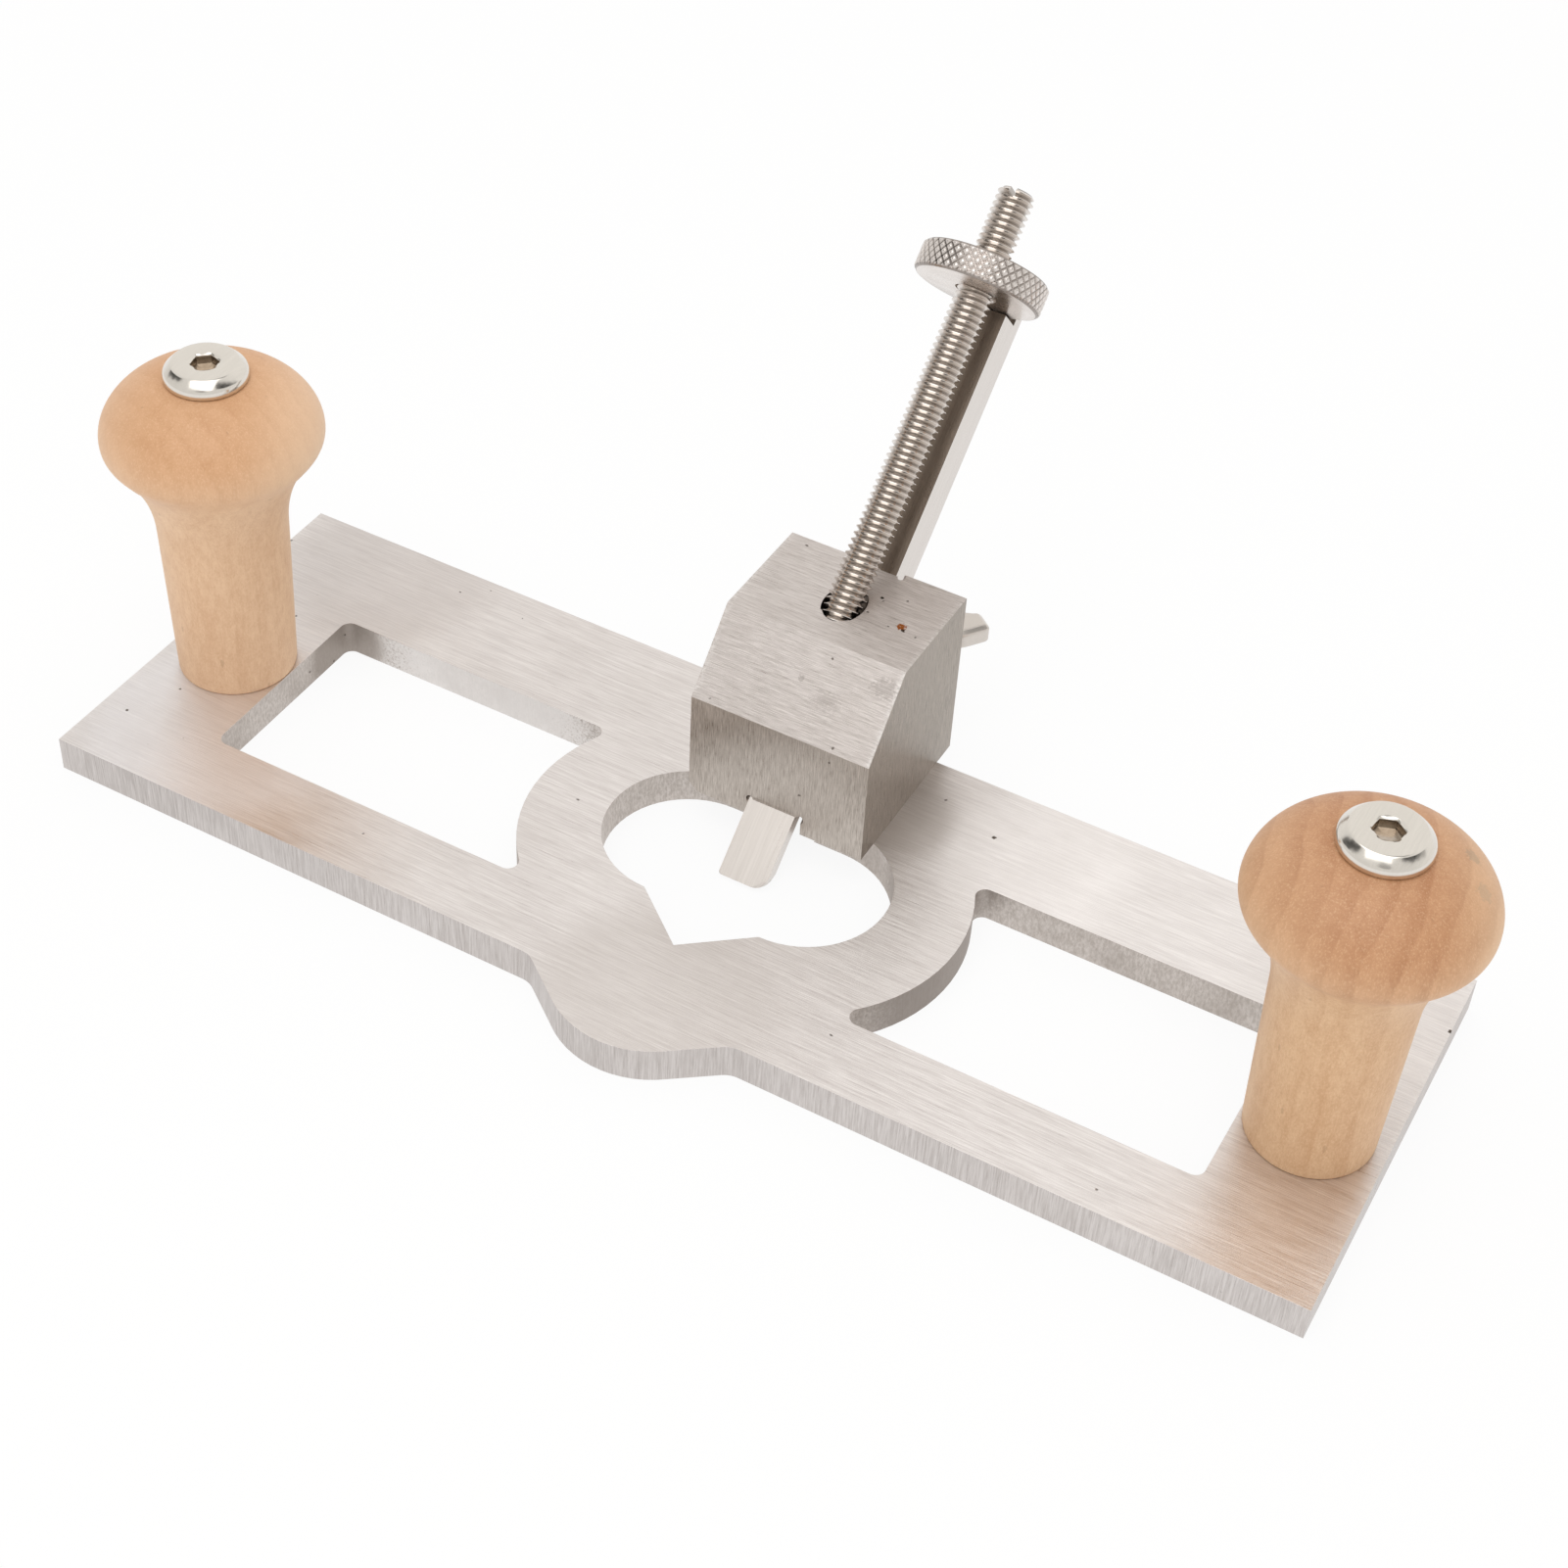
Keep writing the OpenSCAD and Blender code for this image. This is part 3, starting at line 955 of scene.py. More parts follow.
@dataclass(frozen=True)
class GroundSteel(Finish):
    """Steel ground along its length on top and upright on its walls, with painted shade on the
    walls that face sideways and patches of painted light and shade.
    """

    flat: tuple[Tone, Tone]
    wall: tuple[Tone, Tone]
    # side: darker tones of painted shade for the walls that face sideways
    side: tuple[Tone, Tone]
    low: Point
    high: Point
    cut_depth: float = 0.0
    marks: tuple[Mark, ...] = ()
    # Patches of painted light and painted shade on the top faces.
    flat_light_and_shade: tuple[Mark, ...] = ()
    # A painted highlight and painted shade on the sawn walls.
    wall_light_and_shade: tuple[Mark, ...] = ()
    pit_share: float = 0.25
    contrast: float = 1.1
    along: float = 110.0
    across: float = 3300.0
    sawn: tuple[Tone, Tone] = (tone(186, 177, 169), tone(218, 210, 204))
    sawn_stain: Tone = tone(160, 149, 140)
    bare_edge: Tone = tone(244, 241, 238)
    tarnish: Tone = tone(176, 166, 158)
    pit: Tone = tone(92, 84, 76)
    roughness: float = 0.27
    edge_width: float = 1.6 * MM
    grain_depth: float = 0.02 * MM
    pit_depth: float = 0.08 * MM

    def material(self, effects: Effects) -> Material:
        """Builds the material from the shared effects.

        Args:
            effects: The shared effects.

        Returns:
            The material.
        """
        t = Coat(self.name, 1.0, effects)
        place = t.place
        nx, _, nz = t.split(t.normal)
        up = t.step(t.calc("ABSOLUTE", nz), 0.4, 0.6)
        painted_side_shade = t.step(t.calc("ABSOLUTE", nx), 0.6, 0.8)
        lying = (self.along, self.across, self.across)
        upright = (self.across, self.across, self.along * 1.2)
        strong = self.contrast * 1.3
        top, top_lines = t.brushed(place, lying, self.contrast, self.flat)
        wall, wall_lines = t.brushed(place, upright, strong, self.wall)
        side = t.brushed(place, upright, strong, self.side)[0]
        height = lines = t.between(up, wall_lines, top_lines)
        rough = t.plus(self.roughness, t.times(lines, 0.12))
        # Patches of painted light and painted shade on the top faces.
        top, rough = t.marked(top, rough, self.flat_light_and_shade)
        # Painted shade: the walls that face sideways take the darker side tones.
        colour = t.mix(up, t.mix(painted_side_shade, wall, side), top)
        from_side, from_front = self.inside(t)
        if self.cut_depth:
            inner = t.calc("MINIMUM", from_side, from_front)
            inner = t.step(inner, self.cut_depth, self.cut_depth * 1.3)
            cut = t.times(inner, t.calc("SUBTRACT", 1.0, up, clamp=True))
            coarse = t.noise(t.scaled(place, (1.0, 1.0, 0.4)), 2000.0, 3.0, 0.7)
            speckle, matt = self.speckled(t, coarse)
            colour = t.stain(colour, cut, 0.9, speckle)
            rough = t.between(cut, rough, matt)
            height = t.between(cut, lines, coarse)
        worn = t.group(t.effects.wear, place=place, apart=from_side, width=self.edge_width)[0]
        colour = t.stain(colour, t.times(worn, up), 0.5, self.bare_edge)
        patches = t.step(t.noise(place, 60.0, 3.0, 0.6), 0.35, 0.7)
        colour = t.stain(colour, patches, 0.10, self.tarnish)
        pits = t.pits(place, 190.0, 0.075, self.pit_share)
        colour = t.stain(colour, pits, 0.75, self.pit)
        colour, rough = t.marked(colour, rough, self.marks)
        brush = t.mix(up, (0.0, 0.0, 1.0, 1.0), (1.0, 0.0, 0.0, 1.0))
        t.feed(t.surface["Tangent"], t.point("CROSS_PRODUCT", t.normal, brush).outputs[0])
        t.surface["Anisotropic"].default_value = 0.75
        return t.finished(colour, rough, [(height, self.grain_depth), (pits, -self.pit_depth)])

    def inside(self, t: Coat) -> list[Socket]:
        """Measures how far a place lies inside the outer walls.

        Args:
            t: The coat.

        Returns:
            The distances from the side walls and from the front and back.
        """
        apart = []
        for here, low, high in zip(t.split(t.place)[:2], self.low, self.high):
            off = t.calc("ABSOLUTE", t.minus(here, (low + high) / 2))
            apart.append(t.minus((high - low) / 2, off))
        return apart

    def speckled(self, t: Coat, coarse: object) -> list:
        """Colours the sawn walls, with a painted highlight and painted shade on them.

        Args:
            t: The coat.
            coarse: The noise of their rough surface.

        Returns:
            Their colour and their roughness.
        """
        speckle = t.mix(t.step(coarse, 0.3, 0.7), *self.sawn)
        stained = t.step(t.noise(t.place, 70.0, 3.0, 0.6), 0.44, 0.66)
        speckle = t.stain(speckle, stained, 0.4, self.sawn_stain)
        # A painted highlight and painted shade on the sawn walls.
        return t.marked(speckle, 0.5, self.wall_light_and_shade)


@dataclass(frozen=True)
class ToolSteel(Finish):
    """The cutter's ground bar, with a darker finish and painted shade from the rod on the face
    towards it.
    """

    axis: Axis
    dark_and_shade_from: float
    bright: tuple[Tone, Tone] = (tone(232, 226, 221), tone(204, 197, 191))
    # dark: partly a darker ground finish, partly painted shade from the rod in front of the face
    dark: tuple[Tone, Tone] = (tone(178, 167, 156), tone(146, 134, 123))
    pit: Tone = tone(110, 102, 94)
    roughness: float = 0.22
    grain_depth: float = 0.006 * MM
    pit_depth: float = 0.06 * MM

    def material(self, effects: Effects) -> Material:
        """Builds the material from the shared effects.

        Args:
            effects: The shared effects.

        Returns:
            The material.
        """
        t = Coat(self.name, 1.0, effects)
        place = self.axis.local(t, t.place)
        lean = self.axis.lean
        facing = t.dot(t.normal, (0.0, -math.cos(lean), math.sin(lean)))
        front = t.step(facing, 0.6, 0.8)
        bright, bright_lines = t.brushed(place, (2600.0, 2600.0, 60.0), 0.5, self.bright)
        dark, dark_lines = t.brushed(place, (2400.0, 2400.0, 90.0), 0.5, self.dark)
        # The front face above the start height takes the dark tones: partly its darker finish,
        # partly painted shade from the rod.
        upper = t.step(t.split(place)[2], self.dark_and_shade_from - 4 * MM, self.dark_and_shade_from + 4 * MM)
        share = t.times(front, upper)
        colour = t.mix(share, bright, dark)
        lines = t.between(share, bright_lines, dark_lines)
        pits = t.pits(place, 240.0, 0.07, 0.05)
        colour = t.stain(colour, pits, 0.5, self.pit)
        rough = t.plus(self.roughness, t.times(lines, 0.14))
        return t.finished(colour, rough, [(lines, self.grain_depth), (pits, -self.pit_depth)])


@dataclass(frozen=True)
class TurnedSteel(Finish):
    """Turned or rolled steel, with painted shade in the roots of its thread or knurl."""

    axis: Axis
    light: Tone
    # painted shade in the thread's roots or the knurl's grooves
    recess_shade: Tone
    inner: float
    outer: float
    roughness: float
    faces_to: float = 0.0
    mark_pitch: float = 0.2 * MM
    mark_depth: float = 0.002 * MM
    smudge_depth: float = 0.004 * MM
    smudged: Tone = tone(150, 143, 136)

    def material(self, effects: Effects) -> Material:
        """Builds the material from the shared effects.

        Args:
            effects: The shared effects.

        Returns:
            The material.
        """
        t = Coat(self.name, 1.0, effects)
        place = self.axis.local(t, t.place)
        x, y, _ = t.split(place)
        out = t.away(x, y)
        marks = t.group(t.effects.turned, place=place, pitch=self.mark_pitch)[0]
        crest = t.step(out, self.inner, self.outer)
        face = t.step(out, self.faces_to, self.faces_to - 0.1 * MM)
        # Painted shade: the roots take the dark tone, the crests and the flat faces the light one.
        colour = t.mix(t.calc("MAXIMUM", crest, face), self.recess_shade, self.light)
        colour = t.stain(colour, t.step(marks, 0.35, 0.7), 0.12, self.smudged)
        smudge = t.noise(place, 260.0, 3.0, 0.6)
        rough = t.plus(self.roughness, t.times(t.minus(smudge, 0.5), self.roughness * 0.9))
        layers = [(marks, self.mark_depth), (smudge, self.smudge_depth)]
        return t.finished(colour, rough, layers)


@dataclass(frozen=True)
class TurnedWood(Finish):
    """Pale close-grained wood, turned and oiled, with soft growth rings and painted light on the
    head's sides and below its rim.
    """

    axis: Axis
    pith: Flat
    ring_pitch: float
    ring_share: float
    shank: tuple[Tone, Tone]
    head: tuple[Tone, Tone]
    # rim: the colour of the painted light on the head
    rim: Tone
    marks: tuple[Mark, ...] = ()
    head_from: float = 54.5 * MM
    fleck: Tone = tone(150, 104, 70)
    fuzz: Tone = tone(248, 220, 184)
    # Direction towards the painted light on the head.
    light_way: Point = (0.87, 0.49, 0.0)
    roughness: float = 0.46
    fibre_depth: float = 0.02 * MM
    pore_depth: float = 0.03 * MM

    def material(self, effects: Effects) -> Material:
        """Builds the material from the shared effects.

        Args:
            effects: The shared effects.

        Returns:
            The material.
        """
        t = Coat(self.name, 0.0, effects)
        place = self.axis.local(t, t.place)
        z = t.split(place)[2]
        fibre = t.noise(place, (2100.0, 2100.0, 170.0), 3.0, 0.6)
        mottle = t.noise(place, (520.0, 520.0, 300.0), 4.0, 0.7)
        cloud = t.noise(place, (60.0, 60.0, 26.0))
        high = t.step(z, self.head_from - 3 * MM, self.head_from + 4 * MM)
        shade = t.plus(t.times(fibre, 0.20), t.times(mottle, 0.46))
        shade = t.step(t.plus(shade, t.times(cloud, 0.34)), 0.34, 0.66)
        growth = t.between(high, self.ring_share * 0.45, self.ring_share)
        growth = t.times(self.rings(t, place), growth)
        shade = t.calc("ADD", t.times(shade, 0.6), growth, clamp=True)
        colour = t.mix(high, t.mix(shade, *self.shank), t.mix(shade, *self.head))
        up = t.step(t.split(t.normal)[2], 0.0, 0.75)
        colour = t.stain(colour, up, 0.32, self.head[1])
        stretched = t.scaled(place, (1.0, 1.0, 0.28))
        flecks = t.pits(stretched, 330.0, 0.13, 0.30)
        colour = t.stain(colour, flecks, 0.28, self.fleck)
        fuzz = t.noise(place, (3300.0, 3300.0, 1500.0), 2.0, 0.6)
        colour = t.stain(colour, t.step(fuzz, 0.5, 0.72), 0.22, self.fuzz)
        colour = t.stain(colour, t.step(fuzz, 0.5, 0.28), 0.18, self.head[1])
        # Painted light on the head's sides and below its rim.
        colour = t.stain(colour, self.painted_rim_light(t, place, z), high, self.rim)
        rough = t.plus(self.roughness, t.times(fibre, 0.14))
        colour, rough = t.marked(colour, rough, self.marks)
        t.surface["Coat Weight"].default_value = 0.06
        t.surface["Coat Roughness"].default_value = 0.35
        layers = [(fibre, self.fibre_depth), (mottle, self.pore_depth)]
        return t.finished(colour, rough, layers)

    def rings(self, t: Coat, place: object) -> Socket:
        """Draws the growth rings round the pith.

        Args:
            t: The coat.
            place: The place on the surface.

        Returns:
            A mask of each ring's late wood.
        """
        x, y, _ = t.split(place)
        drift = t.noise(place, (45.0, 45.0, 11.0))
        ripple = t.noise(place, (260.0, 260.0, 20.0))
        warp = t.plus(t.times(drift, 10 * MM), t.times(ripple, 0.5 * MM))
        far = t.away(t.minus(x, self.pith[0]), t.minus(y, self.pith[1]))
        turn = t.calc("FRACT", t.calc("DIVIDE", t.plus(far, warp), self.ring_pitch))
        late = t.times(t.step(turn, 0.2, 0.95), t.step(turn, 1.0, 0.9))
        patch = t.noise(place, (75.0, 75.0, 40.0))
        return t.times(late, t.step(patch, 0.35, 0.65, 0.4, 1.0))

    def painted_rim_light(self, t: Coat, place: object, z: object) -> Socket:
        """Finds where light is painted on the head: most on the side towards the light, less on
        the far side, and below the rim.

        Args:
            t: The coat.
            place: The place on the surface.
            z: Its height above the foot.

        Returns:
            A mask of the painted light.
        """
        toward = t.dot(place, self.light_way)
        near = t.times(t.step(toward, 6 * MM, 21 * MM), 0.45)
        far = t.times(t.step(toward, -6 * MM, -21 * MM), 0.22)
        low = t.step(z, self.head_from + 12 * MM, self.head_from + 2 * MM)
        return t.plus(t.plus(near, far), t.times(low, 0.24))


@dataclass(frozen=True)
class PlatedSteel(Finish):
    """Bright plating or a polished casting, with faint handling marks and painted shade inside a
    socket.
    """

    light: Tone
    roughness: float
    ripple_scale: float
    ripple_depth: float
    axis: Axis = Axis(ORIGIN)
    socket: float = 0.0
    mouth: float = 0.0
    scratched: Tone = tone(176, 170, 163)
    pit: Tone = tone(110, 102, 94)
    # painted shade inside the socket
    recess_shade: tuple[Tone, Tone] = (tone(160, 147, 132), tone(212, 202, 190))
    scratch_depth: float = 0.002 * MM

    def material(self, effects: Effects) -> Material:
        """Builds the material from the shared effects.

        Args:
            effects: The shared effects.

        Returns:
            The material.
        """
        t = Coat(self.name, 1.0, effects)
        place = self.axis.local(t, t.place)
        ripple = t.noise(place, self.ripple_scale)
        haze = t.noise(place, 900.0, 4.0, 0.7)
        scratches, lines = t.brushed(
            place, (3000.0, 160.0, 900.0), 1.2, (self.light, self.scratched)
        )
        colour = t.mix(0.12, self.light, scratches)
        pits = t.pits(place, 420.0, 0.08, 0.12)
        colour = t.stain(colour, pits, 0.4, self.pit)
        rough = t.plus(self.roughness, t.times(t.minus(haze, 0.4), self.roughness * 0.8))
        # Painted shade inside the hexagon socket, below its mouth.
        if self.socket:
            x, y, z = t.split(place)
            within = t.step(t.away(x, y), self.socket, self.socket * 0.98)
            inner = t.times(within, t.step(z, self.mouth, self.mouth - 0.1 * MM))
            colour = t.mix(inner, colour, t.mix(haze, *self.recess_shade))
            rough = t.between(inner, rough, 0.2)
        layers = [(ripple, self.ripple_depth), (lines, self.scratch_depth)]
        return t.finished(colour, rough, layers)


# Pieces


def dress(piece: Piece, material: Material) -> None:
    """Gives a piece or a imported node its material."""
    piece.data.materials.clear()
    piece.data.materials.append(material)


def soften(node: Piece, width: float, steps: int = 2) -> None:
    """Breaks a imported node's sharp edges with modifiers alone.

    Args:
        node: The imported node's object.
        width: Width of the broken edge.
        steps: Number of steps round it.
    """
    weld = node.modifiers.new("weld", "WELD")
    weld.merge_threshold = 2e-7
    edge = node.modifiers.new("broken_edge", "BEVEL")
    edge.width = width
    edge.segments = steps
    edge.limit_method = "ANGLE"
    edge.angle_limit = math.radians(28)
    edge.miter_outer = "MITER_ARC"
    shading = node.modifiers.new("shading", "WEIGHTED_NORMAL")
    shading.keep_sharp = False
    shading.weight = 90


def settle(piece: Piece, body: Body, slot: Slot, material: Material, *nodes: str) -> None:
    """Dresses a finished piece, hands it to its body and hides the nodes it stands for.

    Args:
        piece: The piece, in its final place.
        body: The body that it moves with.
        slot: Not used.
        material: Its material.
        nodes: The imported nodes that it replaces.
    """
    dress(piece, material)
    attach(piece, body.value)
    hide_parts(*nodes)
    log.info("piece %s rides on %s", piece.name, body.value)


@dataclass(frozen=True)
class Sizes:
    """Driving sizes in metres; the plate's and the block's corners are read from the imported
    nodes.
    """

    plate_low: Point
    plate_high: Point
    block_low: Point
    block_high: Point
    lean: float = math.radians(47.3)
    mouth_height: float = 4.2 * MM
    rod_offset: float = 9.05 * MM
    rod_diameter: float = 7.94 * MM
    rod_reach: float = 89.6 * MM
    rod_depth: float = 20 * MM
    thread_pitch: float = 1.411 * MM
    blade_length: float = 136 * MM
    blade_drop: float = 16.4 * MM
    notch_lip: float = 2.6 * MM
    wheel_thickness: float = 6.2 * MM
    wheel_play: float = 0.3 * MM

    @property
    def thickness(self) -> float:
        """Thickness of the plate."""
        return self.plate_high[2]

    @property
    def bed(self) -> Axis:
        """The slanted axis that starts at the slot's mouth."""
        return Axis((0.0, self.block_low[1], self.thickness + self.mouth_height), self.lean)

    @property
    def rod_axis(self) -> Axis:
        """The rod's axis, beside the slanted bed.

        Returns:
            The axis, which starts level with the slot's mouth.
        """
        x, y, z = self.bed.start
        off = self.rod_offset
        return Axis((x, y - off * math.cos(self.lean), z + off * math.sin(self.lean)), self.lean)

    @property
    def rod_exit(self) -> float:
        """Where the rod's axis leaves the block's top, along the axis."""
        rise = self.block_high[2] - self.rod_axis.start[2]
        return rise / math.cos(self.lean)

    @property
    def wheel_bottom(self) -> float:
        """Where the wheel's underside is, along the rod's axis."""
        notch_top = self.blade_length - self.blade_drop - self.notch_lip
        return notch_top - self.wheel_thickness - self.wheel_play


@dataclass
class PlateAndBlock:
    """The flat plate, the block on it and the screws between them."""

    sizes: Sizes
    nodes: dict[str, Piece]
    plate_depth: float = 90 * MM
    plate_edge: float = 0.3 * MM
    block_edge: float = 0.28 * MM
    screw_edge: float = 0.15 * MM

    def build(self, effects: Effects) -> None:
        """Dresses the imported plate, block and screws.

        Args:
            effects: The shared effects.
        """
        s = self.sizes
        top = s.block_high[2] / MM
        plate = GroundSteel(
            "ground_plate",
            flat=(tone(240, 235, 232), tone(211, 204, 201)),
            wall=(tone(221, 215, 212), tone(186, 179, 175)),
            # Painted shade on the plate's ends.
            side=(tone(214, 208, 204), tone(180, 172, 167)),
            low=(s.plate_low[0], s.plate_high[1] - self.plate_depth, 0.0),
            high=s.plate_high,
            cut_depth=8 * MM,
            marks=(
                mark(40.0, 0.1, 8, 0.5, tone(96, 86, 78)),
                mark(-131.5, -61.6, 8, 0.35, tone(110, 100, 92)),
                mark(-126.4, -50.6, 8, 0.35, tone(110, 100, 92)),
                mark(137.3, -1.5, 8, 0.5, tone(100, 90, 82)),
            ),
            flat_light_and_shade=(
                # Patches of painted light and painted shade on the plate's top: lighter and darker
                # stretches, and the block's painted shadow to its right.
                mark(-112, -56, 8, 34, tone(250, 248, 250), 0.05, 0.5),
                mark(92, 4, 8, 62, tone(252, 248, 246), 0.05, 0.25),
                mark(50, -2, 8, 24, tone(252, 248, 246), 0.05, 0.3),
                mark(-112, 4, 8, 30, tone(206, 199, 196), 0.05, 0.3),
                mark(4, -74, 8, 30, tone(198, 190, 184), 0.05, 0.3),
                mark(20, -5, 8, 15, tone(182, 173, 166), 0.03, 0.5),
            ),
            wall_light_and_shade=(
                # A painted highlight on the left window's rear wall, and painted shade on two
                # other window walls.
                mark(-74, -14, 4, 34, tone(255, 252, 250), 0.35, 0.7),
                mark(38, -34, 4, 25, tone(148, 138, 131), 0.12, 0.8),
                mark(-109, -18, 4, 11, tone(158, 147, 138), 0.1, 0.8),
            ),
        ).material(effects)
        block = GroundSteel(
            "ground_block",
            flat=(tone(224, 217, 213), tone(184, 176, 171)),
            wall=(tone(206, 197, 188), tone(156, 146, 137)),
            # Painted shade on the block's walls that face sideways.
            side=(tone(186, 177, 167), tone(136, 126, 116)),
            low=s.block_low,
            high=s.block_high,
            marks=(
                mark(13.0, 5.0, top, 1.1, tone(152, 88, 42), 0.7),
                mark(13.7, 4.1, top, 0.5, tone(70, 58, 50), 0.7),
                mark(5.5, 11.1, top, 0.45, tone(58, 52, 48), 0.4),
                mark(0.2, -12.3, 41.6, 0.7, tone(130, 122, 116), 0.7, 0.35),
                mark(7.0, -14.0, 39.7, 2.2, tone(140, 132, 126), 0.9, 0.2, 1.4),
                mark(17.2, -9.6, 44.6, 2.2, tone(126, 118, 112), 0.9, 0.28, 1.4),
            ),
            pit_share=0.4,
            contrast=1.25,
            along=230.0,
            across=4600.0,
        ).material(effects)
        screws = PlatedSteel(
            "dark_screws",
            light=tone(146, 143, 140),
            roughness=0.30,
            ripple_scale=300.0,
            ripple_depth=0.01 * MM,
        ).material(effects)
        looks = [("base_plate", plate, self.plate_edge), ("blade_block", block, self.block_edge)]
        looks += [(n, screws, self.screw_edge) for n in self.nodes if n.startswith("block_screw")]
        for name, material, edge in looks:
            dress(self.nodes[name], material)
            soften(self.nodes[name], edge)
        log.info("dressed the plate, the block and its screws")


@dataclass
class Cutter:
    """The square cutter that slides in the block."""

    sizes: Sizes
    nodes: dict[str, Piece]
    edge: float = 0.2 * MM
    # Where the cutter's darker finish and painted shade start, below the rod's exit.
    dark_and_shade_below_top: float = 8 * MM

    def build(self, effects: Effects) -> None:
        """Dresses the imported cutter.

        Args:
            effects: The shared effects.
        """
        dark_and_shade_from = self.sizes.rod_exit - self.dark_and_shade_below_top
        finish = ToolSteel("tool_steel", self.sizes.bed, dark_and_shade_from)
        dress(self.nodes["cutter_blade"], finish.material(effects))
        soften(self.nodes["cutter_blade"], self.edge)
        log.info("dressed the cutter")


@dataclass
class Adjuster:
    """The threaded rod and the knurled wheel that runs on it."""

    sizes: Sizes
    rod_crease: float = 50.0
    wheel_crease: float = 28.0
    wheel_radius: float = 13.6 * MM
    rim_bevel: float = 0.7 * MM
    knurl_count: int = 43
    knurl_depth: float = 0.4 * MM
    knurl_steps: int = 8
    knurl_flank: float = 0.6
    knurl_inset: float = 0.12
    knurl_free: float = 0.45
    bore_play: float = 0.06 * MM
    bore_bevel: float = 0.4 * MM
    face_inset: float = 0.25 * MM
    thread_share: float = 0.6134
    thread_bevel: float = 0.8 * MM
    slot_width: float = 1.4 * MM
    slot_depth: float = 2.2 * MM

    def build(self, effects: Effects) -> None:
        """Builds the rod and the wheel.

        Args:
            effects: The shared effects.
        """
        s = self.sizes
        radius = s.rod_diameter / 2
        steel = TurnedSteel(
            "rolled_thread",
            s.rod_axis,
            light=tone(224, 217, 211),
            # Painted shade in the thread's roots.
            recess_shade=tone(176, 167, 159),
            inner=radius - 0.86 * MM,
            outer=radius - 0.35 * MM,
            roughness=0.17,
        )
        rod = show(self.rod(), "adjuster_rod_thread", self.rod_crease)
        settle(rod, Body.PLANE, Slot.ROD, steel.material(effects), "adjuster_rod")
        steel = TurnedSteel(
            "knurled_steel",
            s.rod_axis,
            light=tone(230, 223, 218),
            # Painted shade in the knurl's grooves.
            recess_shade=tone(158, 149, 143),
            inner=self.wheel_radius - self.knurl_depth,
            outer=self.wheel_radius - 0.08 * MM,
            roughness=0.27,
            faces_to=self.wheel_radius - self.rim_bevel,
        )
        wheel = show(self.wheel(), "adjuster_wheel_knurled", self.wheel_crease)
        settle(wheel, Body.WHEEL, Slot.WHEEL, steel.material(effects), "adjuster_wheel")

    def rod(self) -> Mesh:
        """The rod with its true thread and the screwdriver slot in its end.

        Returns:
            The mesh, in its place.
        """
        s = self.sizes
        low, top = s.rod_exit - s.rod_depth, s.rod_exit + s.rod_reach
        radius, pitch = s.rod_diameter / 2, s.thread_pitch
        thread = Thread(radius, self.thread_share * pitch, pitch, low, top, self.thread_bevel)
        half = self.slot_width / 2
        slot = brick((-half, -2 * radius, top - self.slot_depth), (half, 2 * radius, top + 5 * MM))
        tools = [(thread.ends(), "INTERSECT"), (slot, "DIFFERENCE")]
        mesh = carved(thread.bar(), tools, "adjuster_rod_thread")
        mesh.transform(s.rod_axis.place())
        return mesh

    def wheel(self) -> Shape:
        """The wheel with crossed ridges round its rim.

        Returns:
            The wheel, in its place.
        """
        s = self.sizes
        count = self.knurl_count * self.knurl_steps
        bore, ease = s.rod_diameter / 2 + self.bore_play, self.bore_bevel
        rim = self.wheel_radius
        face = rim - self.rim_bevel - self.face_inset
        thick = s.wheel_thickness
        rings = [ring(bore, ease, count), ring(bore + ease, 0.0, count), ring(face, 0.0, count)]
        rows = round((thick - 2 * self.rim_bevel * self.knurl_free) / (2 * math.pi * rim / count))
        lip = self.rim_bevel * self.knurl_inset
        for row in range(rows + 1):
            rings.append(self.knurled(row, lip + row / rows * (thick - 2 * lip), count))
        rings += [ring(face, thick, count), ring(bore + ease, thick, count)]
        rings.append(ring(bore, thick - ease, count))
        place = s.rod_axis.place() @ Matrix.Translation((0.0, 0.0, s.wheel_bottom))
        return skin(rings, looped=True).placed(place)

    def knurled(self, row: int, height: float, count: int) -> list[Point]:
        """One ring of the knurled rim.

        Args:
            row: Number of the ring, from the underside.
            height: Height above the underside.
            count: Number of points.

        Returns:
            The ring's points.
        """
        edge = min(height, self.sizes.wheel_thickness - height)
        limit = self.wheel_radius - max(0.0, self.rim_bevel - edge)
        points = []
        for i in range(count):
            ridge = 1.0
            for turn in (i + row, i - row):
                share = (turn % self.knurl_steps) / self.knurl_steps
                ridge = min(ridge, abs(2 * share - 1) / self.knurl_flank)
            reach = min(limit, self.wheel_radius - self.knurl_depth * (1 - ridge))
            angle = 2 * math.pi * i / count
            points.append((reach * math.cos(angle), reach * math.sin(angle), height))
        return points


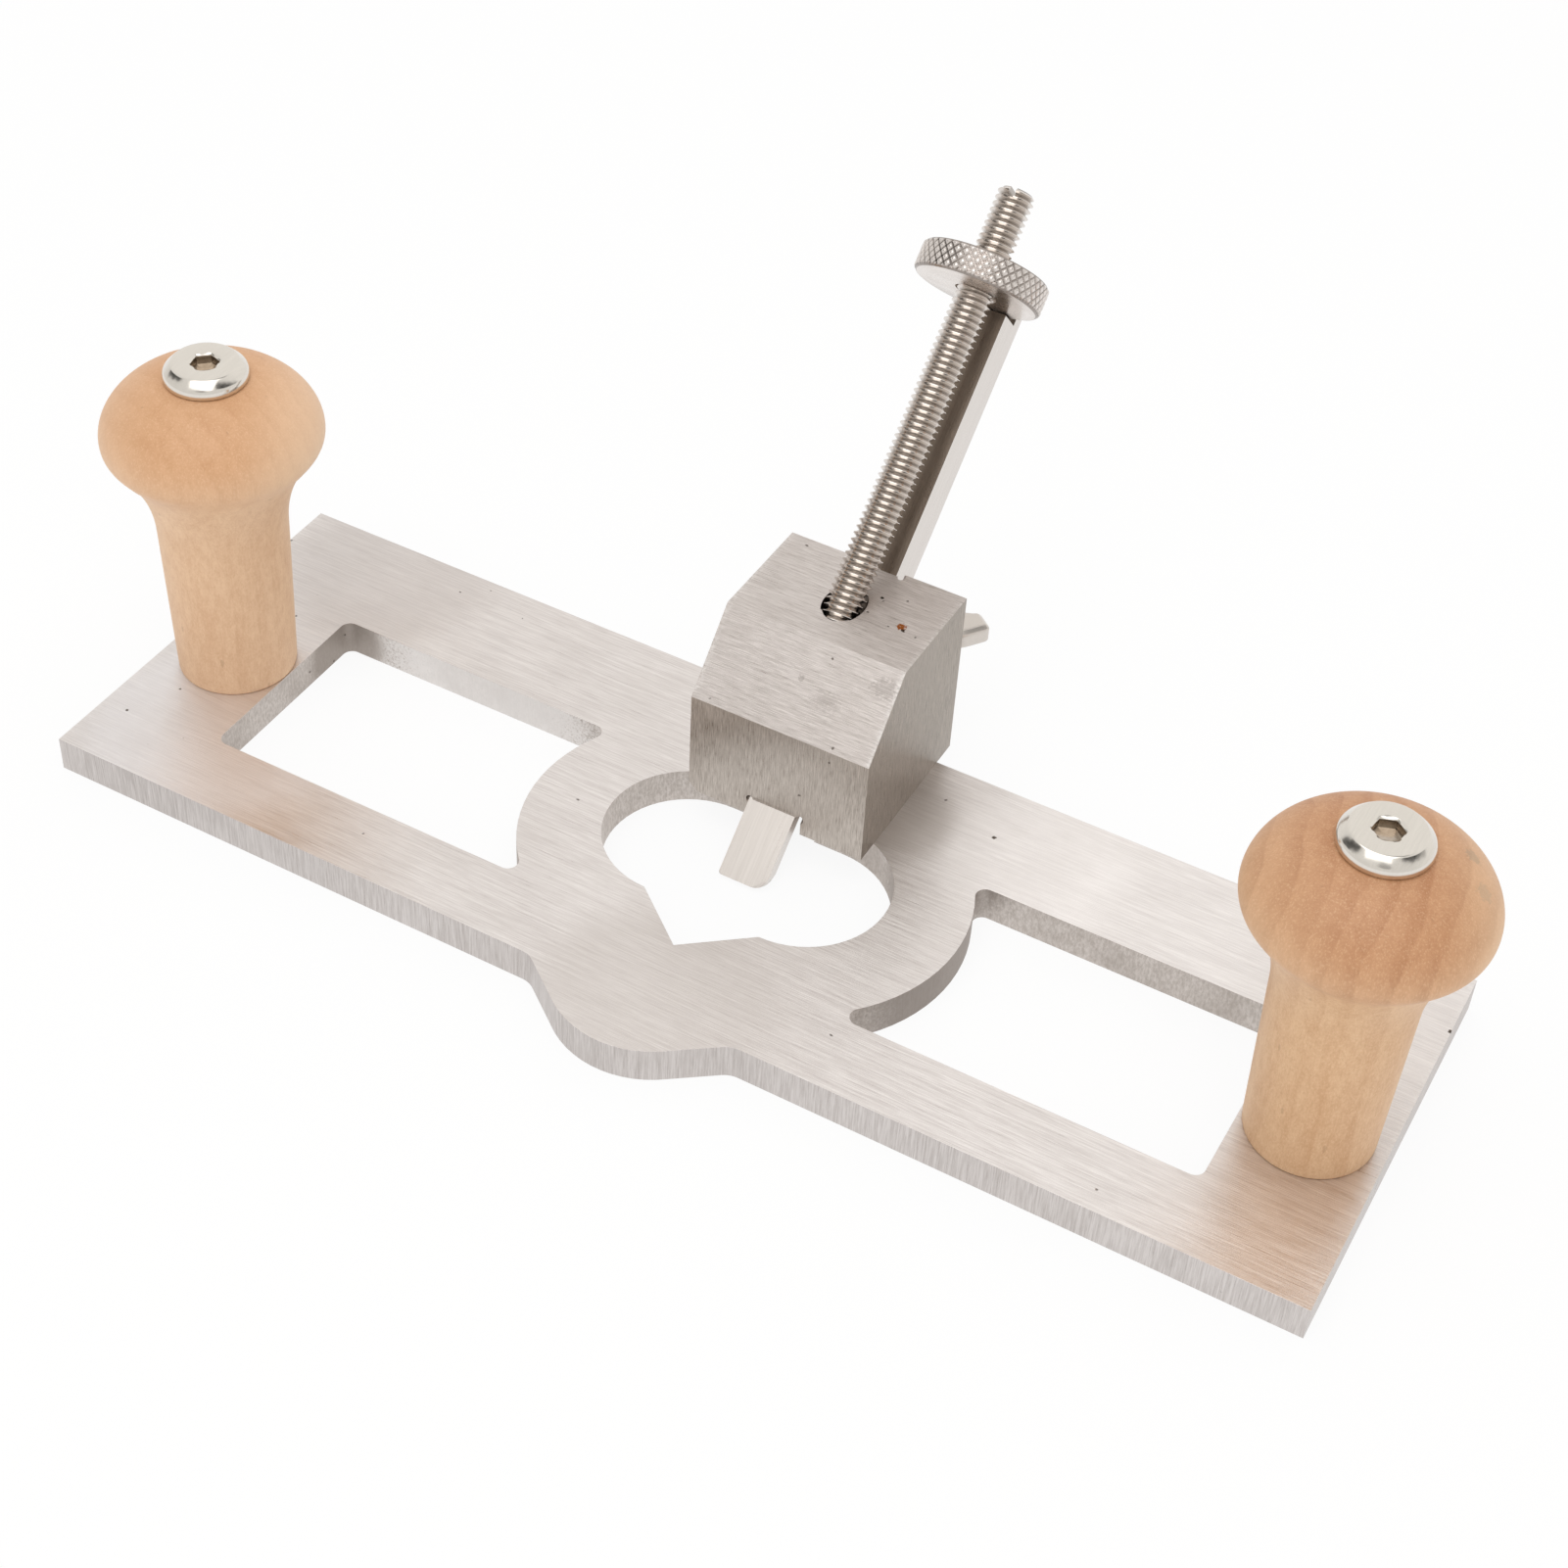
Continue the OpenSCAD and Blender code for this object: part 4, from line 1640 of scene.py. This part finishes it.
@dataclass
class WingScrew:
    """The wing screw behind the block."""

    sizes: Sizes
    height: float = 18 * MM
    hub_radius: float = 6.2 * MM
    hub_length: float = 10.4 * MM
    gap: float = 0.7 * MM
    span: float = 38.6 * MM
    reach: float = 20.4 * MM
    thickness: float = 5 * MM
    corner: float = 1.1 * MM
    crease: float = 60.0
    shank_radius: float = 4 * MM
    tip_radius: float = 1.5 * MM
    thread_pitch: float = 1.25 * MM
    thread_depth: float = 0.75 * MM
    grain: float = 0.2 * MM
    bevels: tuple[Flat, ...] = (
        (-1.0, 1.0),
        (-0.66, 0.1),
        (-0.55, 0.0),
        (0.55, 0.0),
        (0.66, 0.1),
        (1.0, 1.0),
    )

    @property
    def place(self) -> Matrix:
        """The screw's axis, lying along the block's depth at its height."""
        up = self.sizes.thickness + self.height
        return Matrix.Translation((0.0, 0.0, up)) @ Matrix.Rotation(-math.pi / 2, 4, "X")

    def build(self, effects: Effects) -> None:
        """Builds the screw.

        Args:
            effects: The shared effects.
        """
        steel = PlatedSteel(
            "polished_wing",
            light=tone(216, 209, 202),
            roughness=0.30,
            ripple_scale=260.0,
            ripple_depth=0.02 * MM,
        )
        piece = show(self.casting(), "wing_screw_cast", self.crease)
        settle(piece, Body.WING, Slot.WING, steel.material(effects), "wing_screw")

    def casting(self) -> Mesh:
        """The hub, the two wings and the threaded shank in one mesh.

        Returns:
            The mesh, in its place.
        """
        back = Matrix.Translation((0.0, self.sizes.block_high[1], 0.0))
        body = show(self.hub().add(self.wings()), "wing_screw_body")
        blend = body.modifiers.new("blend", "REMESH")
        blend.mode = "VOXEL"
        blend.voxel_size = self.grain
        ease = body.modifiers.new("ease", "SMOOTH")
        ease.factor = 0.5
        ease.iterations = 2
        cast = baked(body, "wing_screw_cast")
        cast.transform(back @ self.place)
        work = bmesh.new()
        work.from_mesh(cast)
        work.from_mesh(self.shank())
        work.to_mesh(cast)
        work.free()
        return cast

    def shank(self) -> Mesh:
        """The threaded shank with its cone tip, from the blade to the hub.

        Returns:
            The mesh, in its place.
        """
        low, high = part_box("wing_screw")[0].y, self.sizes.block_high[1] + self.gap + 1 * MM
        radius, depth, pitch = self.shank_radius, self.thread_depth, self.thread_pitch
        thread = Thread(radius, depth, pitch, low, high, 0.4 * MM, steps=32)
        cone = low + (radius - self.tip_radius) * math.tan(self.sizes.lean)
        wide = radius + thread.blank
        line = [(self.tip_radius, low), (radius, cone), (wide, cone + thread.blank), (wide, high)]
        mesh = carved(thread.bar(), [(lathe(line, 64), "INTERSECT")], "wing_screw_shank")
        mesh.transform(self.place)
        return mesh

    def hub(self) -> Shape:
        """The hub, turned round its own axis.

        Returns:
            The hub, with its axis upright.
        """
        r, start, end = self.hub_radius, self.gap, self.gap + self.hub_length
        profile = [(self.shank_radius - 0.5 * MM, start), (r - 0.5 * MM, start)]
        profile += [(r, start + 0.5 * MM), (r, end - 3 * MM), (r - 1.8 * MM, end), (0.5 * MM, end)]
        return lathe(profile, 64)

    def wings(self) -> Shape:
        """Both wings as one flat form with bevelled edges.

        Returns:
            The wings, with the screw's axis upright.
        """
        half, root, reach = self.span / 2, self.hub_radius, self.reach
        right = [(root - 0.6 * MM, self.gap + 1.5 * MM), (half - 3.4 * MM, reach - 8.2 * MM)]
        right += [(half, reach - 3.4 * MM), (half - 4.2 * MM, reach)]
        right.append((root - 1.4 * MM, reach - 7.4 * MM))
        left = [(-x, y) for x, y in reversed(right)]
        closed = rounded([*right, *left], self.corner)
        levels = [(level * self.thickness / 2, inset * MM) for level, inset in self.bevels]
        return skin([self.inset(closed, inset, level) for level, inset in levels])

    def inset(self, outline: list[Flat], depth: float, level: float) -> list[Point]:
        """The outline drawn in by a depth, on one level.

        Args:
            outline: The closed outline: across the wings, and out from the block.
            depth: How far it is drawn in.
            level: Height above the screw's axis.

        Returns:
            The points, with the screw's axis upright.
        """
        points = []
        count = len(outline)
        for i, here in enumerate(outline):
            before, after = np.array(outline[i - 1]), np.array(outline[(i + 1) % count])
            run = after - before
            inward = np.array((-run[1], run[0])) / max(float(np.hypot(*run)), 1e-9)
            x, y = np.array(here) + inward * depth
            points.append((float(x), -level, float(y)))
        return points


@dataclass
class Knob:
    """One turned wooden knob and the bolt that holds it."""

    sizes: Sizes
    side: Side
    wood: TurnedWood
    foot: float = 24.9 * MM
    neck: float = 26.8 * MM
    edge: float = 40.4 * MM
    head: float = 44.6 * MM
    neck_height: float = 37 * MM
    edge_height: float = 55 * MM
    waist_height: float = 59.5 * MM
    crown_height: float = 73.5 * MM
    dome_power: float = 1.95
    seat: float = 17.5 * MM
    bore: float = 3.25 * MM
    bolt_radius: float = 8.5 * MM
    bolt_rim: float = 2.2 * MM
    bolt_bevel: float = 1.6 * MM
    bolt_bevel_width: float = 2.0 * MM
    wood_crease: float = 50.0
    bolt_crease: float = 32.0
    bolt_shank: float = 3 * MM
    bolt_end: float = 1.3 * MM
    socket: float = 5 * MM
    socket_depth: float = 2.3 * MM
    socket_turn: float = 0.0
    count: int = 144
    bulge_height: float = 2.2
    bulge: tuple[Flat, ...] = (
        (0.28, 0.08),
        (0.1, 0.3),
        (0.02, 0.6),
        (0.0, 0.9),
        (0.02, 1.25),
        (0.08, 1.6),
        (0.18, 1.9),
        (0.32, 2.18),
        (0.52, 2.42),
    )

    def dome(self, share: float) -> float:
        """Height of the dome as a share, at a share of its radius."""
        return (1 - share**self.dome_power) ** (1 / self.dome_power)

    @property
    def seat_height(self) -> float:
        """Height of the bolt's seat above the knob's foot."""
        rise = self.crown_height - self.waist_height
        return self.waist_height + rise * self.dome(self.seat / self.head)

    def build(self, effects: Effects) -> None:
        """Builds the knob and its bolt.

        Args:
            effects: The shared effects.
        """
        name = self.side.value
        # The socket's size and its mouth bound the painted shade inside it.
        socket = self.socket / math.sqrt(3) + 0.12 * MM
        mouth = self.seat_height + self.bolt_rim + self.bolt_bevel - 0.3 * MM
        nickel = PlatedSteel(
            f"{name}_bright_nickel",
            light=tone(227, 222, 214),
            roughness=0.15,
            ripple_scale=120.0,
            ripple_depth=0.02 * MM,
            axis=self.wood.axis,
            socket=socket,
            mouth=mouth,
        )
        place = Matrix.Translation(self.wood.axis.start)
        wood = show(self.turning().placed(place), f"{name}_knob_turned", self.wood_crease)
        settle(wood, Body.PLANE, Slot.WOOD, self.wood.material(effects), f"{name}_knob")
        turn = Matrix.Rotation(math.radians(self.socket_turn), 4, "Z")
        bolt = self.bolt().placed(place @ turn)
        bolt = show(bolt, f"{name}_knob_bolt_plated", self.bolt_crease)
        settle(bolt, Body.PLANE, Slot.BOLT, nickel.material(effects), f"{name}_knob_bolt")

    def turning(self) -> Shape:
        """The wooden knob, turned round its bore.

        Returns:
            The knob, standing at the origin.
        """
        foot, neck, edge, waist = self.foot / 2, self.neck / 2, self.edge / 2, self.head / 2
        low, mid, high = self.neck_height, self.edge_height, self.waist_height
        line = [(self.bore, 0.0), (foot - 0.5 * MM, 0.0)]
        line += [(foot - 0.1 * MM, 0.12 * MM), (foot, 0.5 * MM)]
        line += [(foot + (neck - foot) * i / 8, low * i / 8) for i in range(1, 9)]
        rise, tuck = mid - low, high - mid
        bell, flare = (neck + 0.3 * MM, low + rise / 2), (edge - 2.4 * MM, mid - 2.3 * MM)
        line += cubic((neck, low), bell, flare, (edge, mid), 22)
        brim, tucked = (edge + 1 * MM, mid + tuck / 3), (waist, high - tuck / 2)
        line += cubic((edge, mid), brim, tucked, (waist, high), 10)
        turn = math.acos(self.seat / self.head)
        for i in range(1, 33):
            share = math.cos(turn * i / 32)
            line.append((waist * share, high + (self.crown_height - high) * self.dome(share)))
        bore, seat = self.bore, self.seat_height
        line = [*eased(line, 1, 0.22), (self.seat / 2 - 0.6 * MM, seat)]
        line += [(bore + 0.4 * MM, seat), (bore, seat - 0.4 * MM)]
        return lathe(line, self.count, looped=True)

    def bolt(self) -> Shape:
        """The bolt: shank, wide bevelled head and hexagon socket.

        Returns:
            The bolt, standing at the origin.
        """
        rim, base, shank = self.bolt_radius, self.seat_height, self.bolt_shank
        top = base + self.bolt_rim + self.bolt_bevel
        end = self.bolt_end - self.sizes.thickness
        line = [(shank - 0.5 * MM, end), (shank, end + 0.5 * MM), (shank, base)]
        line.append((rim - 0.5 * MM, base))
        for inset, rise in self.bulge:
            line.append((rim - inset * MM, base + rise / self.bulge_height * self.bolt_rim))
        flat = rim - self.bolt_bevel_width
        line += [(flat + 0.35 * MM, top - 0.22 * MM), (flat + 0.1 * MM, top - 0.05 * MM)]
        line += [(flat - 0.25 * MM, top), (3.3 * MM, top), (3.16 * MM, top - 0.03 * MM)]
        rings = [ring(r, z, self.count) for r, z in line]
        corner = self.socket / math.sqrt(3)
        rings.append(ring(corner + 0.08 * MM, top - 0.3 * MM, self.count, 6))
        for height in (0.42 * MM, self.socket_depth - 0.1 * MM):
            rings.append(ring(corner, top - height, self.count, 6))
        rings.append(ring(corner * 0.8, top - self.socket_depth, self.count, 6))
        rings.append(ring(corner * 0.25, top - self.socket_depth, self.count))
        return skin(rings)


# Studio


@dataclass(frozen=True)
class Gap:
    """A darker gap in the pale tent: its direction and reach in degrees, and its depth."""

    turn: float
    rise: float
    reach: float
    depth: float

    def way(self) -> Point:
        """Finds the gap's middle.

        Returns:
            Its direction.
        """
        turn, rise = math.radians(self.turn), math.radians(self.rise)
        level = math.cos(rise)
        return (math.cos(turn) * level, math.sin(turn) * level, math.sin(rise))

    def limit(self, share: float) -> float:
        """How far a direction agrees with its middle at a share of its reach."""
        return math.cos(math.radians(self.reach * share))


@dataclass(frozen=True)
class Studio:
    """Floor, sky, lamp and camera."""

    camera_place: Point = (0.18030, -0.37492, 0.39344)
    camera_angles: Point = (48.353, -2.604, 29.150)
    focal_length: float = 62.741
    shift_up: float = -0.04997
    floor_size: float = 12.0
    sky_level: float = 0.97
    front_level: float = 0.86
    front_range: Flat = (-0.2, 0.7)
    floor_drop: float = 0.1 * MM
    floor_glow: float = 0.9
    key_place: Point = (0.057, -0.369, 1.24)
    key_size: float = 1.1
    key_power: float = 5.2
    gaps: tuple[Gap, ...] = (
        Gap(-176, 22, 7, 0.9),
        Gap(-165, 31, 8, 0.93),
        Gap(-152, 40, 7.5, 0.93),
        Gap(-10, 49, 8, 0.85),
        Gap(4, 42, 9, 0.88),
        Gap(17, 36, 8, 0.8),
        Gap(30, 28, 8, 0.5),
        Gap(-68, 40, 11, 0.5),
        Gap(64, 70, 10, 0.6),
    )

    def build(self) -> None:
        """Builds the whole studio."""
        self.camera()
        self.floor()
        self.sky()
        self.lamp()
        bpy.context.scene.view_settings.view_transform = "Standard"
        log.info("built the studio")

    def camera(self) -> None:
        """Stands the camera where the photograph was taken from."""
        lens = bpy.data.cameras.new("photo_camera")
        lens.sensor_width = 36.0
        lens.lens = self.focal_length
        lens.shift_y = self.shift_up
        lens.clip_start = 0.01
        lens.clip_end = 50.0
        camera = bpy.data.objects.new("photo_camera", lens)
        camera.location = self.camera_place
        camera.rotation_euler = [math.radians(a) for a in self.camera_angles]
        bpy.context.scene.collection.objects.link(camera)
        bpy.context.scene.camera = camera

    def lamp(self) -> None:
        """Hangs the square soft lamp so that it faces the object."""
        light = bpy.data.lights.new("key", "AREA")
        light.size = self.key_size
        light.energy = self.key_power
        lamp = bpy.data.objects.new("key", light)
        lamp.location = self.key_place
        way = Vector((0, 0, 30 * MM)) - Vector(self.key_place)
        lamp.rotation_euler = way.to_track_quat("-Z", "Y").to_euler()
        bpy.context.scene.collection.objects.link(lamp)

    def floor(self) -> None:
        """Lays the pale floor."""
        half = self.floor_size / 2
        corners = [(x * half, y * half, 0.0) for x, y in ((-1, -1), (1, -1), (1, 1), (-1, 1))]
        ground = show(Shape(corners, [(0, 1, 2, 3)]), "floor")
        ground.location.z = -self.floor_drop
        paper = bpy.data.materials.new("floor_paper")
        paper.use_nodes = True
        t = Tree(paper.node_tree)
        paper.node_tree.nodes.clear()
        matt = t.add("ShaderNodeBsdfDiffuse")
        matt.inputs["Color"].default_value = tone(250, 250, 250)
        glow = t.add("ShaderNodeEmission")
        rays = t.add("ShaderNodeLightPath").outputs
        seen = t.calc("MAXIMUM", rays["Is Glossy Ray"], rays["Is Transmission Ray"])
        seen = t.calc("MAXIMUM", rays["Is Camera Ray"], seen)
        both = t.add("ShaderNodeMixShader")
        t.feed(both.inputs[0], t.times(seen, self.floor_glow))
        t.feed(both.inputs[1], matt.outputs[0])
        t.feed(both.inputs[2], glow.outputs[0])
        out = t.add("ShaderNodeOutputMaterial")
        t.feed(out.inputs["Surface"], both.outputs[0])
        dress(ground, paper)

    def sky(self) -> None:
        """Lights the object from a pale tent with a few darker gaps."""
        world = bpy.data.worlds.new("tent")
        bpy.context.scene.world = world
        world.use_nodes = True
        world.node_tree.nodes.clear()
        t = Tree(world.node_tree)
        way = t.add("ShaderNodeTexCoord").outputs["Generated"]
        shade = t.step(t.split(way)[1], *self.front_range, self.front_level, 1.0)
        for gap in self.gaps:
            inside = t.step(t.dot(way, gap.way()), gap.limit(1.25), gap.limit(0.8))
            shade = t.times(shade, t.minus(1.0, t.times(inside, gap.depth)))
        colour = t.mix(shade, tone(0, 0, 0), tone(255, 253, 250))
        tent = t.add("ShaderNodeBackground")
        t.feed(tent.inputs["Color"], colour)
        tent.inputs["Strength"].default_value = self.sky_level
        white = t.add("ShaderNodeBackground")
        white.inputs["Color"].default_value = tone(255, 255, 255)
        both = t.add("ShaderNodeMixShader")
        t.feed(both.inputs[0], t.add("ShaderNodeLightPath").outputs["Is Camera Ray"])
        t.feed(both.inputs[1], tent.outputs[0])
        t.feed(both.inputs[2], white.outputs[0])
        out = t.add("ShaderNodeOutputWorld")
        t.feed(out.inputs["Surface"], both.outputs[0])


def knob_axis(side: Side, thickness: float) -> Axis:
    """The axis of one knob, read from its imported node."""
    low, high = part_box(f"{side.value}_knob")
    return Axis(((low.x + high.x) / 2, (low.y + high.y) / 2, thickness))


def woods(thickness: float) -> dict[Side, TurnedWood]:
    """The finish of each knob.

    Args:
        thickness: Thickness of the plate that the knobs stand on.

    Returns:
        The two finishes, by side.
    """
    left = TurnedWood(
        "left_knob_wood",
        axis=knob_axis(Side.LEFT, thickness),
        pith=(0.030, 0.085),
        ring_pitch=5.2 * MM,
        ring_share=0.28,
        shank=(tone(238, 202, 166), tone(211, 166, 128)),
        head=(tone(226, 180, 139), tone(200, 147, 103)),
        # The colour of the painted light on the head.
        rim=tone(248, 219, 188),
    )
    right = TurnedWood(
        "right_knob_wood",
        axis=knob_axis(Side.RIGHT, thickness),
        pith=(-0.095, -0.022),
        ring_pitch=5.6 * MM,
        ring_share=0.58,
        shank=(tone(230, 192, 152), tone(202, 155, 113)),
        head=(tone(214, 165, 124), tone(178, 123, 83)),
        # The colour of the painted light on the head.
        rim=tone(240, 206, 168),
        marks=(
            mark(135.7, -28.9, 77.4, 1.9, tone(150, 138, 118), 0.45, 0.38),
            mark(139.9, -34.8, 76.1, 2.1, tone(160, 146, 124), 0.45, 0.3),
        ),
    )
    return {Side.LEFT: left, Side.RIGHT: right}


def main() -> None:
    """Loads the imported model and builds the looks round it."""
    logging.basicConfig(level=logging.INFO, format="%(message)s")
    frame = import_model()
    nodes = frame["nodes"]
    plate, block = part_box("base_plate"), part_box("blade_block")
    sizes = Sizes(tuple(plate[0]), tuple(plate[1]), tuple(block[0]), tuple(block[1]))
    Studio().build()
    effects = Effects()
    PlateAndBlock(sizes, nodes).build(effects)
    Cutter(sizes, nodes).build(effects)
    Adjuster(sizes).build(effects)
    WingScrew(sizes).build(effects)
    socket_turns = {Side.LEFT: 43.0, Side.RIGHT: 21.0}
    for side, wood in woods(sizes.thickness).items():
        Knob(sizes, side, wood, socket_turn=socket_turns[side]).build(effects)


if __name__ == "__main__":
    main()
